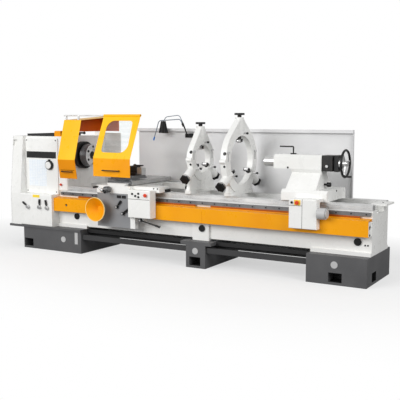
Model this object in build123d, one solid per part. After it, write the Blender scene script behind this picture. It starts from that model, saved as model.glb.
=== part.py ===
"""Universal lathe: bed on three pedestals, headstock, carriage, two steady rests and tailstock."""
import math
import os

from build123d import *

# All lengths are in millimetres. X runs along the bed towards the tailstock, Y to the back, Z up.
# The origin is on the floor under the middle pedestal, in the vertical plane of the spindle axis.

# Fits and sheet shared by the whole machine
running_gap = 0.1
slide_gap = 0.05
cut_overrun = 10.0
sheet = 4.0

# Main levels, and half the width of the bed, which the fronts and backs follow
plate_top = 310.0
way_top = 850.0
centre_height = 400.0
axis_z = way_top + centre_height
bed_half = 280.0

# Pedestals
left_span = (-2705.0, -1715.0)
middle_span = (-130.0, 130.0)
right_span = (1375.0, 2040.0)
pedestal_reach = 150.0
pedestal_front = -bed_half - pedestal_reach
pedestal_back_reach = 120.0
pedestal_back = bed_half + pedestal_back_reach
plate_thick = 30.0
middle_cap_half = 205.0
middle_cap_thick = 40.0
pocket_width = 150.0
pocket_height = 100.0
pocket_depth = 180.0
pocket_floor = 30.0
pocket_xs = (-2690.0, -85.0, 1625.0)
side_pocket_ys = (-250.0, -100.0)
badge_radius = 38.0
badge_thick = 3.0
badge_spots = ((-2010.0, 165.0), (-5.0, 200.0), (1690.0, 215.0))

# Base plate and chip trays
plate_left = -2950.0
plate_reach = 165.0
plate_front = -bed_half - plate_reach
tray_reach = 20.0
tray_front = -bed_half - tray_reach
tray_back_reach = 100.0
tray_back = bed_half + tray_back_reach
tray_floor = 262.0

# Bed
bed_left = -2740.0
bed_right = 2040.0
bed_bottom = 335.0
way_seat = 790.0
bed_wall = 75.0
bed_rib = 60.0
bed_window_count = 8
foot_reach = 30.0
foot_height = 40.0
middle_foot_half = 110.0
middle_foot_top = 540.0
way_width = 95.0
way_lip = 8.0
way_chamfer = 14.0
end_cap_length = 100.0
end_cap_half = 150.0
end_cap_thick = 18.0
end_window_half = 130.0
end_window_depth = 45.0
end_recess_y = (-95.0, 110.0)
end_recess_z = (475.0, 715.0)
end_recess_depth = 6.0
plug_radius = 40.0
plug_height = 14.0
plug_spots = ((-1895.0, 460.0), (20.0, 455.0), (1890.0, 455.0))

# Rack, lead screw and cover
rack_left = -2150.0
rack_right = 2025.0
rack_bottom = 730.0
rack_top = 772.0
rack_thick = 22.0
rack_bolt_count = 26
rack_bolt_radius = 9.0
rack_bolt_head = 6.0
bolt_sides = 6
screw_reach = 55.0
screw_y = -bed_half - screw_reach
screw_z = 620.0
screw_radius = 27.0
screw_collar = 38.0
screw_collar_length = 40.0
cover_split = 60.0
cover_joint = 2.0
cover_right = 2032.0
cover_reach = 110.0
cover_front = -bed_half - cover_reach
cover_top = 695.0
cover_back_top = 708.0
cover_flange = 28.0
cover_bottom = 526.0
cover_return = 22.0
cover_hole_radius = 17.0
cover_hole_x = -1985.0
cover_hole_z = 612.0
cover_strip_spans = ((-1850.0, -75.0), (130.0, 1915.0))
cover_strip_height = 22.0
bracket_length = 45.0

# Splash guard and rear panel
splash_left = -1465.0
splash_right = 1555.0
splash_reach = 250.0
splash_y = bed_half + splash_reach
splash_bottom = 560.0
splash_top = 1600.0
splash_lip = 34.0
splash_hem = 34.0
splash_end_flange = 30.0
splash_arm_count = 4
splash_arm_width = 60.0
splash_arm_z = (600.0, 640.0)
splash_arm_inset = 200.0
rear_panel_top = 1535.0
headstock_reach = 220.0
headstock_back = bed_half + headstock_reach

# Headstock, end cover, feed gearbox
head_left = -2750.0
head_right = -2035.0
rear_panel_length = 285.0
rear_panel_right = head_right + rear_panel_length
head_overhang = 20.0
head_front = -bed_half - head_overhang
head_top = 1500.0
head_edge = 18.0
panel_right = -2180.0
panel_bottom = 735.0
panel_top = 1472.0
panel_thick = 18.0
panel_edge = 5.0
end_left = -2960.0
end_reach = 150.0
end_front = -bed_half - end_reach
end_lean_z = 730.0
end_top_reach = 75.0
end_top_front = -bed_half - end_top_reach
end_edge = 55.0
end_recess_x = (-2935.0, -2850.0)
end_recess_z = (1370.0, 1450.0)
end_recess_depth = 30.0
gearbox_right = -2200.0
gearbox_edge = 14.0
mat_thick = 32.0
mat_wall = 12.0
mat_floor = 10.0
mat_x = (-2735.0, -2262.0)
mat_y = (-285.0, 260.0)

# Spindle
bearing_radius = 180.0
bearing_length = 70.0
nose_reach = 195.0
nose_face = head_right + nose_reach
nose_radius = 149.0
nose_length = 105.0
spindle_radius = 85.0
spindle_bore = 52.0
nose_hole_radius = 14.0
nose_hole_depth = 40.0
nose_hole_circle = 112.0
nose_hole_count = 6
nose_recess_radius = 80.0
nose_recess_depth = 14.0

# Speed dial and gearbox levers
dial_x = -2313.0
dial_z = 1120.0
dial_radius = 60.0
dial_depth = 34.0
dial_face_radius = 46.0
dial_face_depth = 8.0
dial_ear = 16.0
lever_hubs = ((-2611.0, 561.0), (-2405.0, 566.0), (-2273.0, 563.0))
lever_angles = (147.0, 88.0, 103.0)
lever_hub_radius = 26.0
lever_hub_depth = 34.0
lever_arm_radius = 9.0
lever_grip_radius = 13.0
lever_reach = 105.0
lever_grip_length = 60.0
stop_button_x = -2135.0
stop_button_z = 868.0
stop_radius = 16.0
stop_depth = 20.0
stop_travel = 6.0
stop_root = 8.0
stop_stem_share = 0.6
estop_radius = 22.0

# Chuck guard
guard_gap = 7.0
guard_left = head_right + guard_gap
guard_width = 283.0
guard_right = guard_left + guard_width
guard_lift = 60.0
guard_wall = 205.0
guard_top_fall = 50.0
guard_back_bottom = head_top + guard_lift
guard_bottom = (-447.0, 969.0)
guard_fold = (-490.0, 1212.0)
guard_top_back = (455.0, guard_back_bottom + guard_wall)
guard_top_front = (-345.0, guard_top_back[1] - guard_top_fall)
hinge_y = 430.0
hinge_rise = 25.0
hinge_z = guard_back_bottom + hinge_rise
hinge_pin_radius = 14.0
hinge_block_half = 34.0
hinge_block_length = 90.0
guard_handle_z = 1060.0
handle_radius = 7.0
handle_stand = 38.0
handle_half = 80.0
rail_y = -343.0
rail_rise = 57.0
rail_z = guard_top_front[1] + rail_rise
rail_radius = 8.0
rail_right = -835.0
rail_post_half = 9.0
rail_post_xs = (-1990.0, -1790.0)
rest_bracket_x = (-2255.0, -2150.0)
rest_bracket_y = (-285.0, -195.0)
rest_bracket_top = 1572.0
rest_bar_radius = 11.0
rest_bar_right = -1785.0
rest_ball_radius = 18.0

# Sliding window door
door_left = -1378.0
door_right = -822.0
door_bottom = 1031.0
door_fold = (-575.0, 1252.0)
sleeve_radius = 15.0
window_low = 80.0
window_high = 500.0
window_left_low = 95.0
window_left_high = 80.0
window_right_low = 70.0
window_right_high = 95.0
window_large_radius = 110.0
window_small_radius = 45.0
pane_thick = 5.0
pane_lap = 18.0
door_handle_z = 1108.0
door_handle_half = 120.0

# Saddle and apron
saddle_left = -1410.0
saddle_right = -520.0
saddle_reach = 120.0
saddle_front = -bed_half - saddle_reach
saddle_back_reach = 50.0
saddle_back = bed_half + saddle_back_reach
saddle_top = 915.0
lip_reach = 70.0
lip_front = saddle_front - lip_reach
lip_bottom = 820.0
bridge_half = 120.0
bridge_top = 945.0
bridge_flare = 25.0
saddle_notch = 60.0
wiper_length = 22.0
wiper_height = 34.0
apron_right = -900.0
apron_bottom = 400.0
apron_edge = 14.0
apron_boss_radius = 62.0
apron_boss_depth = 22.0
plate_pair_x = ((-1095.0, -1035.0), (-1020.0, -965.0))
plate_pair_z = (765.0, 800.0)
plate_pair_depth = 8.0

# Carriage control box
cbox_left = -900.0
cbox_right = -575.0
cbox_reach = 50.0
cbox_front = lip_front - cbox_reach
cbox_bottom = 545.0
cbox_top = 880.0
cbox_split = 768.0
cbox_groove = 5.0
cbox_edge = 9.0
leg_right = -830.0
switch_lug = (-775.0, -705.0)
switch_lug_bottom = 488.0
button_radius = 13.0
button_depth = 9.0
button_spots = ((-830.0, 835.0), (-785.0, 812.0), (-740.0, 842.0), (-740.0, 800.0))
estop_x = -635.0
estop_z = 825.0
estop_depth = 26.0

# Apron handwheel, levers and switch lever
wheel_x = -1335.0
wheel_z = 622.0
wheel_radius = 150.0
wheel_reach = 140.0
wheel_front = lip_front - wheel_reach
wheel_hub_radius = 34.0
wheel_wall = 7.0
wheel_rim = 9.0
nut_lever = (-1092.0, 655.0)
nut_lever_angle = 51.0
feed_lever = (-1002.0, 580.0)
feed_lever_angle = 34.0
apron_lever_hub = 20.0
apron_lever_reach = 100.0
apron_lever_depth = 36.0
switch_hub_z = 515.0
switch_hub_x = -740.0
switch_hub_radius = 22.0
switch_reach = 290.0
switch_angle = -12.0

# Cross slide, crank, compound and tool post
cross_x = -1107.0
cross_half = 182.0
cross_front = saddle_front
cross_back = 485.0
cross_bottom = 922.0
cross_top = 970.0
slot_width = 22.0
slot_depth = 16.0
slot_offsets = (-110.0, 0.0, 110.0)
slot_front = 60.0
crank_x = -1205.0
crank_z = 868.0
crank_shaft_radius = 15.0
crank_dial_radius = 42.0
crank_dial_length = 60.0
crank_dial_reach = 90.0
crank_dial_front = lip_front - crank_dial_reach
crank_hub_reach = 170.0
crank_hub_front = lip_front - crank_hub_reach
crank_arm_radius = 10.0
crank_reach = 85.0
crank_angle = 152.0
crank_ball_radius = 19.0
crank_grip_radius = 12.0
crank_grip_length = 75.0
swivel_x = -1107.0
swivel_y = -230.0
swivel_radius = 150.0
swivel_height = 14.0
compound_half = 125.0
compound_reach = 235.0
compound_height = 18.0
top_slide_half = 90.0
top_slide_reach = 225.0
top_slide_height = 24.0
post_x = -1052.0
post_y = -150.0
post_half = 62.0
post_height = 118.0
post_edge = 10.0
post_slot = 32.0
post_slot_depth = 22.0
post_stud_radius = 16.0
post_stud_height = 22.0
post_lever_reach = 120.0
post_lever_thick = 14.0
holder_width = 70.0
holder_half = 45.0
holder_height = 82.0
holder_base = 18.0
holder_nut_radius = 17.0
holder_nut_height = 12.0

# Steady rests: ring, bosses and quills share one set of shares for both sizes
small_steady = dict(x=-184.0, inner=172.0, outer=262.0, boss=392.0, tip=112.0)
large_steady = dict(x=344.0, inner=285.0, outer=395.0, boss=500.0, tip=205.0)
steady_half = 36.0
quill_angles = (90.0, 212.0, 328.0)
quill_radius = 24.0
quill_gap_radius = quill_radius + running_gap
boss_radius = 52.0
roller_radius = 18.0
roller_half = 26.0
roller_gap = 3.0
fork_wall = 9.0
fork_depth = 30.0
fork_root = 7.0
knob_radius = 60.0
knob_thick = 24.0
knob_stand = 26.0
knob_lobe_radius = 15.0
knob_lobe_count = 6
knob_side = (1.0, 1.0, 1.0)
steady_overhang = 20.0
steady_base_half = bed_half + steady_overhang
steady_base_height = 40.0
steady_web_half = 22.0
steady_neck = 150.0
steady_split_gap = 0.5
steady_pin_radius = 11.0
steady_eye_radius = 26.0
steady_eye_half = 16.0
steady_eye_gap = 1.0
steady_lock_ball = 14.0
steady_lock_reach = 70.0
steady_lock_inset = 30.0
steady_nut_radius = 22.0
steady_nut_height = 26.0
steady_nut_z = 84.0

# Tailstock
tail_base_left = 1017.0
tail_base_right = 1545.0
tail_overhang = 20.0
tail_base_front = -bed_half - tail_overhang
tail_base_back = bed_half + tail_overhang
tail_plate_top = 968.0
tail_foot_shares = (0.82, 0.70)
tail_neck_share = 0.96
tail_left = 834.0
tail_right = 1400.0
tail_half = 104.0
tail_body_bottom = 1122.0
tail_nose_bottom = 1180.0
tail_nose_length = 212.0
tail_crown = 88.0
tail_edge = 30.0
quill_tip = 685.0
tail_quill_radius = 55.0
tail_quill_socket = 24.0
tail_quill_socket_depth = 90.0
tail_quill_back = 1270.0
tail_screw_radius = 15.0
tail_screw_tip = 1100.0
tail_screw_depth = 300.0
housing_split = 1522.0
housing_joint = 8.0
housing_right = 1580.0
housing_half = 86.0
housing_step = 30.0
housing_step_half = 60.0
tail_wheel_x = 1640.0
tail_wheel_radius = 158.0
tail_rim_radius = 13.0
tail_rim_sides = 12
tail_spoke_radius = 9.0
tail_spoke_count = 3
tail_hub_radius = 30.0
tail_dial_radius = 58.0
tail_dial_length = 26.0
tail_grip_radius = 11.0
tail_grip_length = 85.0
tail_grip_angle = 250.0
clamp_x = 1030.0
clamp_radius = 17.0
clamp_height = 85.0
clamp_reach = 165.0
clamp_bar = 8.0
clamp_seat = 34.0
clamp_seat_height = 12.0
star_z = 1012.0
star_stand = 36.0
star_stem_radius = 12.0
star_radius = 26.0
star_length = 40.0

# Tailstock drive box on the front of the bed
tbox_left = 1190.0
tbox_middle = 1340.0
tbox_right = 1505.0
tbox_reach = 205.0
tbox_front = -bed_half - tbox_reach
tbox_gap = 3.0
tbox_back = cover_front - tbox_gap
tbox_bottom = 575.0
tbox_top = 890.0
tbox_groove = 5.0
tbox_split = 818.0
drive_arm_thick = 30.0
motor_radius = 60.0
motor_right = 1610.0
motor_reach = 165.0
motor_y = -bed_half - motor_reach
motor_z = 748.0
motor_step = 14.0
tbutton_x = 1226.0
tbutton_z = 853.0
testop_x = 1288.0
testop_z = 853.0

# Lamp and coolant
lamp_y = 425.0
lamp_foot_x = -630.0
lamp_foot_z = 1515.0
lamp_top_x = -699.0
lamp_top_z = 1676.0
lamp_rod_radius = 9.0
lamp_clamp = 26.0
lamp_arm_radius = 5.0
lamp_arm_bend = 55.0
lamp_peak_x = -752.0
lamp_peak_z = 1778.0
lamp_far_x = -960.0
lamp_far_z = 1755.0
lamp_head_x = -1001.0
lamp_head_top = 1700.0
lamp_arm_root = 10.0
lamp_head_bottom = 1545.0
lamp_head_small = 32.0
lamp_head_large = 62.0
pipe_radius = 6.0
pipe_bend = 45.0
ferrule_radius = 12.0
ferrule_share = 0.4
nozzle_radius = 10.0
nozzle_length = 48.0
pipe_start_x = -680.0
pipe_start_z = 1632.0
pipe_peak_x = -730.0
pipe_peak_z = 1725.0
pipe_far_x = -1060.0
pipe_far_z = 1705.0
pipe_end_x = -1146.0
pipe_end_z = 1448.0
pipe_y = lamp_y - lamp_rod_radius - pipe_radius

# Foot brake
brake_y = -372.0
brake_z = 215.0
brake_height = 62.0
brake_depth = 34.0
brake_wall = 6.0
brake_end_gap = 6.0
brake_pivot_y = -180.0
brake_pivot_z = 225.0
brake_pin_radius = 14.0
brake_arm_width = 24.0
brake_arm_height = 34.0


def block(x_span, y_span, z_span):
    size = (x_span[1] - x_span[0], y_span[1] - y_span[0], z_span[1] - z_span[0])
    return Pos(x_span[0], y_span[0], z_span[0]) * Box(*size, align=(Align.MIN, Align.MIN, Align.MIN))


def rod(start, end, radius):
    axis = Vector(*end) - Vector(*start)
    plane = Plane(origin=start, z_dir=axis)
    return extrude(plane * Circle(radius), amount=axis.length)


def rod_x(x_span, y, z, radius):
    return rod((x_span[0], y, z), (x_span[1], y, z), radius)


def rod_y(x, y_span, z, radius):
    return rod((x, y_span[0], z), (x, y_span[1], z), radius)


def profile_x(points, x_span):
    # Closed outline given as (y, z), pulled along X
    outline = make_face(Polyline(*points, close=True))
    return extrude(Plane.YZ.offset(x_span[0]) * outline, amount=x_span[1] - x_span[0])


def profile_y(points, y_span):
    # Closed outline given as (x, z), pulled along Y
    outline = make_face(Polyline(*points, close=True))
    plane = Plane(origin=(0, y_span[0], 0), x_dir=(1, 0, 0), z_dir=(0, -1, 0))
    return extrude(plane * outline, amount=-(y_span[1] - y_span[0]))


def folded(points, thickness, x_span, side=Side.LEFT):
    # Bent sheet: an open (y, z) line thickened to one side and pulled along X
    line = Polyline(*points)
    outline = make_face(offset(line, amount=thickness, side=side, kind=Kind.INTERSECTION, closed=True))
    return extrude(Plane.YZ.offset(x_span[0]) * outline, amount=x_span[1] - x_span[0])


def spread(low, high, count):
    return [low + (high - low) * step / (count - 1) for step in range(count)]


def turned(x, z, angle, reach):
    # Point at a reach from (x, z), angle counted from +X towards +Z
    return (x + reach * math.cos(math.radians(angle)), z + reach * math.sin(math.radians(angle)))


def middle(span):
    return (span[0] + span[1]) / 2


def pocket(x):
    return block((x, x + pocket_width), (pedestal_front - cut_overrun, pedestal_front + pocket_depth),
                 (pocket_floor, pocket_floor + pocket_height))


def badge(spot):
    return rod_y(spot[0], (pedestal_front - badge_thick, pedestal_front), spot[1], badge_radius)


def pivot_hole(x_span):
    return rod_x(x_span, brake_pivot_y, brake_pivot_z, brake_pin_radius + running_gap)


def pedestal_left():
    body = block(left_span, (pedestal_front, pedestal_back), (0, plate_top - plate_thick))
    body -= pocket(pocket_xs[0])
    body -= pivot_hole((left_span[1] - pocket_depth, left_span[1] + cut_overrun))
    return body + badge(badge_spots[0])


def pedestal_middle():
    body = block(middle_span, (pedestal_front, pedestal_back), (0, plate_top))
    body += block((-middle_cap_half, middle_cap_half), (pedestal_front, pedestal_back),
                  (plate_top - middle_cap_thick, plate_top))
    body -= pocket(pocket_xs[1])
    body -= pivot_hole((middle_span[0] - cut_overrun, middle_span[1] + cut_overrun))
    return body + badge(badge_spots[1])


def pedestal_right():
    body = block(right_span, (pedestal_front, pedestal_back), (0, plate_top))
    body -= pocket(pocket_xs[2])
    body -= block((right_span[1] - pocket_depth, right_span[1] + cut_overrun), side_pocket_ys,
                  (pocket_floor, pocket_floor + pocket_height))
    body -= pivot_hole((right_span[0] - cut_overrun, right_span[0] + pocket_depth))
    return body + badge(badge_spots[2])


def base_plate():
    z_span = (plate_top - plate_thick, plate_top)
    return block((plate_left, left_span[1]), (plate_front, pedestal_back), z_span)


def chip_trays():
    line = ((tray_front, plate_top), (tray_front, tray_floor), (tray_back, tray_floor),
            (tray_back, plate_top))
    first = folded(line, sheet, (left_span[1], -middle_cap_half))
    second = folded(line, sheet, (middle_cap_half, right_span[0]))
    return first + second


def pedestals():
    return pedestal_left() + pedestal_middle() + pedestal_right()


def bed_foot(x_span):
    reach = bed_half + foot_reach
    return block(x_span, (-reach, reach), (plate_top, plate_top + foot_height))


def bed():
    body = block((bed_left, bed_right), (-bed_half, bed_half), (bed_bottom, way_seat))
    first = head_right + bed_rib
    pitch = (bed_right - first) / bed_window_count
    for index in range(bed_window_count):
        low = first + pitch * index
        body -= block((low, low + pitch - bed_rib), (-bed_half + bed_wall, bed_half - bed_wall),
                      (bed_bottom - cut_overrun, way_seat + cut_overrun))
    body += bed_foot((gearbox_right, left_span[1]))
    body += bed_foot((-middle_foot_half, middle_foot_half))
    body += bed_foot(right_span)
    body += block((-middle_foot_half, middle_foot_half), (-bed_half - foot_reach, -bed_half),
                  (plate_top, middle_foot_top))
    hole = rod_x((cover_right - bracket_length - cut_overrun, bed_right), screw_y, screw_z,
                 screw_radius + running_gap)
    return body - bed_end_cuts() + screw_bracket() + bed_end_cap() - hole


def screw_bracket():
    # End bearing of the lead screw, inside the right end of the cover
    return block((cover_right - bracket_length, cover_right), (cover_front + sheet + running_gap, -bed_half),
                 (cover_bottom + sheet + running_gap, cover_back_top - cover_flange - running_gap))


def bed_way(sign):
    outer = bed_half + way_lip
    inner = outer - way_width
    points = ((sign * inner, way_seat), (sign * outer, way_seat), (sign * outer, way_top - way_chamfer),
              (sign * (outer - way_chamfer), way_top), (sign * inner, way_top))
    return profile_x(points, (head_right, bed_right))


def bed_ways():
    return bed_way(-1) + bed_way(1)


def bed_end_cuts():
    # Chip window at the top of the end wall, and the shallow field below it
    x_span = (bed_right - bed_rib - cut_overrun, bed_right + cut_overrun)
    window = block(x_span, (-end_window_half, end_window_half),
                   (way_seat - end_window_depth, way_seat + cut_overrun))
    field = block((bed_right - end_recess_depth, bed_right + cut_overrun), end_recess_y, end_recess_z)
    return window + field


def bed_end_cap():
    # Shelf past the bed's end, carried on two cheeks beside the chip window
    x_span = (bed_right - bed_rib, bed_right + end_cap_length)
    cap = block(x_span, (-end_cap_half, end_cap_half), (way_top - end_cap_thick, way_top))
    for y in (-end_cap_half, end_window_half):
        cheek_y = (y, y + end_cap_half - end_window_half)
        cap += block((x_span[0], bed_right), cheek_y, (way_seat, way_top))
    return cap


def bed_plugs():
    faces = (-bed_half, -bed_half - foot_reach, -bed_half)
    plugs = Part()
    for spot, face in zip(plug_spots, faces):
        plugs += rod_y(spot[0], (face - plug_height, face), spot[1], plug_radius)
    return plugs


def rack():
    front = -bed_half - rack_thick
    bar = block((rack_left, rack_right), (front, -bed_half), (rack_bottom, rack_top))
    plane = Plane(origin=(0, front, 0), x_dir=(1, 0, 0), z_dir=(0, -1, 0))
    for x in spread(rack_left + bracket_length, rack_right - bracket_length, rack_bolt_count):
        head = Pos(x, middle((rack_bottom, rack_top))) * RegularPolygon(rack_bolt_radius, bolt_sides)
        bar += extrude(plane * head, amount=rack_bolt_head)
    return bar


def cover_piece(x_span):
    line = ((-bed_half, cover_back_top - cover_flange), (-bed_half, cover_back_top), (cover_front, cover_top),
            (cover_front, cover_bottom), (cover_front + cover_return, cover_bottom))
    return folded(line, sheet, x_span)


def leadscrew_cover():
    left = cover_piece((gearbox_right, cover_split))
    left -= rod_y(cover_hole_x, (cover_front - cut_overrun, cover_front + cut_overrun), cover_hole_z,
                  cover_hole_radius)
    cover = left + cover_piece((cover_split + cover_joint, cover_right))
    back = -bed_half - rack_thick - running_gap
    for x_span in cover_strip_spans:
        cover += block(x_span, (back - sheet, back), (cover_top, cover_back_top + cover_strip_height))
    return cover


def leadscrew():
    screw = rod_x((gearbox_right - pocket_depth, bed_right - cut_overrun), screw_y, screw_z, screw_radius)
    collar_end = cover_right - bracket_length - running_gap
    return screw + rod_x((collar_end - screw_collar_length, collar_end), screw_y, screw_z, screw_collar)


def splash_guard():
    line = ((splash_y, splash_bottom), (splash_y, splash_top), (splash_y - splash_lip, splash_top),
            (splash_y - splash_lip, splash_top - splash_hem))
    guard = folded(line, sheet, (splash_left, splash_right), Side.RIGHT)
    guard += block((splash_right - sheet, splash_right), (splash_y - splash_end_flange, splash_y),
                   (splash_bottom, splash_top))
    for x in spread(splash_left + splash_arm_inset, splash_right - splash_arm_inset, splash_arm_count):
        guard += block((x, x + splash_arm_width), (bed_half, splash_y), splash_arm_z)
    return guard


def rear_panel():
    return block((head_right, rear_panel_right), (headstock_back - sheet, headstock_back),
                 (way_seat, rear_panel_top))


def spindle_hole(x_span, radius):
    return rod_x(x_span, 0, axis_z, radius)


def headstock():
    body = block((head_left, head_right), (head_front, headstock_back), (way_seat, head_top))
    upright = body.edges().filter_by(Axis.Z).group_by(Axis.X)[-1].group_by(Axis.Y)[0]
    body = fillet(upright, head_edge)
    body += block((head_left, panel_right), (head_front, -bed_half), (panel_bottom, way_seat))
    pad = rod_y(stop_button_x, (head_front - panel_edge, head_front), stop_button_z, stop_radius + panel_edge)
    body += pad + rear_panel() + guard_hinge()
    body -= stop_hole(stop_button_x, head_front - panel_edge, stop_button_z, stop_radius)
    bore_span = (head_left - cut_overrun, head_right + cut_overrun)
    return body - spindle_hole(bore_span, spindle_radius + running_gap)


def stop_hole(x, face, z, radius):
    depth = stop_root + stop_travel + running_gap
    return rod_y(x, (face - cut_overrun, face + depth), z, radius * stop_stem_share + running_gap)


def stop_button(x, face, z, radius, depth):
    # Mushroom head on a stem that slides in its hole
    back = face - depth / 2
    head = rod_y(x, (face - depth, back), z, radius)
    head = fillet(head.faces().sort_by(Axis.Y)[0].edges(), panel_edge)
    return head + rod_y(x, (back, face + stop_root), z, radius * stop_stem_share)


def end_cover():
    points = ((end_front, plate_top), (end_front, end_lean_z), (end_top_front, head_top),
              (headstock_back, head_top), (headstock_back, plate_top))
    cover = profile_x(points, (end_left, head_left))
    front_edges = cover.edges().group_by(Axis.X)[0].sort_by(Axis.Y)[:2]
    cover = fillet(front_edges, end_edge)
    cover -= block(end_recess_x, (end_front - cut_overrun, end_top_front + end_recess_depth), end_recess_z)
    return cover - spindle_hole((end_left - cut_overrun, head_left + cut_overrun), spindle_bore)


def control_panel():
    panel = block((head_left, panel_right), (head_front - panel_thick, head_front), (panel_bottom, panel_top))
    panel = fillet(panel.faces().sort_by(Axis.Y)[0].edges(), panel_edge)
    return panel - rod_y(dial_x, (head_front - dial_depth, head_front + cut_overrun), dial_z,
                         apron_lever_hub + running_gap)


def feed_gearbox():
    body = block((head_left, gearbox_right), (end_front, -bed_half), (plate_top, panel_bottom))
    body = fillet(body.faces().sort_by(Axis.Y)[0].edges().filter_by(Axis.X), gearbox_edge)
    for spot in lever_hubs:
        body -= rod_y(spot[0], (end_front - cut_overrun, end_front + lever_hub_depth), spot[1],
                      lever_arm_radius + running_gap)
    return body - rod_x((gearbox_right - pocket_depth, gearbox_right + cut_overrun), screw_y, screw_z,
                        screw_radius + running_gap)


def headstock_mat():
    tray = block(mat_x, mat_y, (head_top, head_top + mat_thick))
    hollow = block((mat_x[0] + mat_wall, mat_x[1] - mat_wall), (mat_y[0] + mat_wall, mat_y[1] - mat_wall),
                   (head_top + mat_floor, head_top + mat_thick + cut_overrun))
    return tray - hollow


def bearing_cover():
    ring = rod_x((head_right, head_right + bearing_length), 0, axis_z, bearing_radius)
    return ring - spindle_hole((head_right - cut_overrun, head_right + bearing_length + cut_overrun),
                               spindle_radius + running_gap)


def spindle():
    shaft = spindle_hole((head_left, nose_face), spindle_radius)
    shaft += spindle_hole((nose_face - nose_length, nose_face), nose_radius)
    shaft -= spindle_hole((nose_face - nose_recess_depth, nose_face + cut_overrun), nose_recess_radius)
    plane = Plane(origin=(nose_face - nose_hole_depth, 0, axis_z), z_dir=(1, 0, 0))
    holes = PolarLocations(nose_hole_circle, nose_hole_count) * Circle(nose_hole_radius)
    shaft -= extrude(plane * Sketch(children=holes), amount=nose_hole_depth + cut_overrun)
    return shaft - spindle_hole((head_left - cut_overrun, nose_face + cut_overrun), spindle_bore)


def speed_dial():
    face = head_front - panel_thick
    dial = rod_y(dial_x, (face - dial_depth, face - running_gap), dial_z, dial_radius)
    dial = fillet(dial.faces().sort_by(Axis.Y)[0].edges(), panel_edge)
    dial += rod_y(dial_x, (face - dial_depth - dial_face_depth, face), dial_z, dial_face_radius)
    dial += block((dial_x - dial_ear / 2, dial_x + dial_ear / 2),
                  (face - dial_depth, face - running_gap), (dial_z, dial_z + dial_radius + dial_ear))
    return dial + rod_y(dial_x, (face - running_gap, head_front), dial_z, apron_lever_hub)


def hand_lever(spot, angle, face, hub_radius, hub_depth, reach, stem):
    hub = rod_y(spot[0], (face - hub_depth, face - running_gap), spot[1], hub_radius)
    hub = fillet(hub.faces().sort_by(Axis.Y)[0].edges(), panel_edge)
    end = turned(spot[0], spot[1], angle, reach)
    grip = turned(spot[0], spot[1], angle, reach - lever_grip_length)
    y = face - hub_depth / 2
    arm = rod((spot[0], y, spot[1]), (end[0], y, end[1]), lever_arm_radius)
    arm += rod((grip[0], y, grip[1]), (end[0], y, end[1]), lever_grip_radius)
    return hub + arm + rod_y(spot[0], (face - running_gap, face + stem), spot[1], lever_arm_radius)


def bow_handle(x, low, high, z, half):
    # Bent bar standing off a sheet that runs from low to high (y, z): two feet and a straight grip along X
    y = low[0] + (high[0] - low[0]) * (z - low[1]) / (high[1] - low[1])
    points = ((x - half, y, z), (x - half, y - handle_stand, z), (x + half, y - handle_stand, z),
              (x + half, y, z))
    return bent_tube(points, handle_radius, 2 * handle_radius)


def chuck_guard():
    line = (guard_bottom, guard_fold, guard_top_front, guard_top_back, (guard_top_back[0], guard_back_bottom))
    guard = folded(line, sheet, (guard_left, guard_right), Side.RIGHT)
    slope = (guard_top_front[0] - guard_fold[0]) / (guard_top_front[1] - guard_fold[1])
    wall_front = guard_fold[0] + slope * (guard_back_bottom - guard_fold[1])
    wall = ((wall_front, guard_back_bottom), guard_top_front, guard_top_back,
            (guard_top_back[0], guard_back_bottom))
    guard += profile_x(wall, (guard_left, guard_left + sheet))
    handle_x = middle((guard_left, guard_right))
    guard += bow_handle(handle_x, guard_bottom, guard_fold, guard_handle_z, handle_half)
    guard += rod_x((guard_left, rail_right), rail_y, rail_z, rail_radius)
    post_y_span = (rail_y - rail_post_half, rail_y + rail_post_half)
    for x in rail_post_xs:
        guard += block((x - rail_post_half, x + rail_post_half), post_y_span, (guard_top_front[1], rail_z))
    pin = rod_x((head_right - hinge_block_length, guard_left + sheet), hinge_y, hinge_z, hinge_pin_radius)
    return guard + pin


def guard_hinge():
    x_span = (head_right - hinge_block_length, head_right)
    y_span = (hinge_y - hinge_block_half, hinge_y + hinge_block_half)
    lug = block(x_span, y_span, (head_top, hinge_z + hinge_block_half))
    return lug - rod_x((x_span[0] - cut_overrun, x_span[1] + cut_overrun), hinge_y, hinge_z,
                       hinge_pin_radius + running_gap)


def guard_rest():
    bracket = block(rest_bracket_x, rest_bracket_y, (head_top, rest_bracket_top))
    bracket = chamfer(bracket.edges().filter_by(Axis.X).group_by(Axis.Z)[-1], mat_wall)
    y = middle(rest_bracket_y)
    z = guard_back_bottom - rest_bar_radius - running_gap
    bracket += rod_x((rest_bracket_x[1], rest_bar_right), y, z, rest_bar_radius)
    return bracket + Pos(rest_bar_right, y, z) * Sphere(rest_ball_radius)


def door_plane():
    # Slanted plane of the window: local x along the bed, local y up the slope from the fold
    up = Vector(0, rail_y - door_fold[0], rail_z - door_fold[1])
    out = Vector(1, 0, 0).cross(up)
    return Plane(origin=(door_left, *door_fold), x_dir=(1, 0, 0), z_dir=out)


def window_outline(grow):
    width = door_right - door_left
    low = window_low - grow
    high = window_high + grow
    points = ((window_left_low - grow, low), (width - window_right_low + grow, low),
              (width - window_right_high + grow, high), (window_left_high - grow, high))
    outline = make_face(Polyline(*points, close=True))
    small = [outline.vertices().sort_by_distance(points[index])[0] for index in (0, 2)]
    outline = fillet(small, window_small_radius)
    large = [outline.vertices().sort_by_distance(points[index])[0] for index in (1, 3)]
    return fillet(large, window_large_radius)


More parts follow.
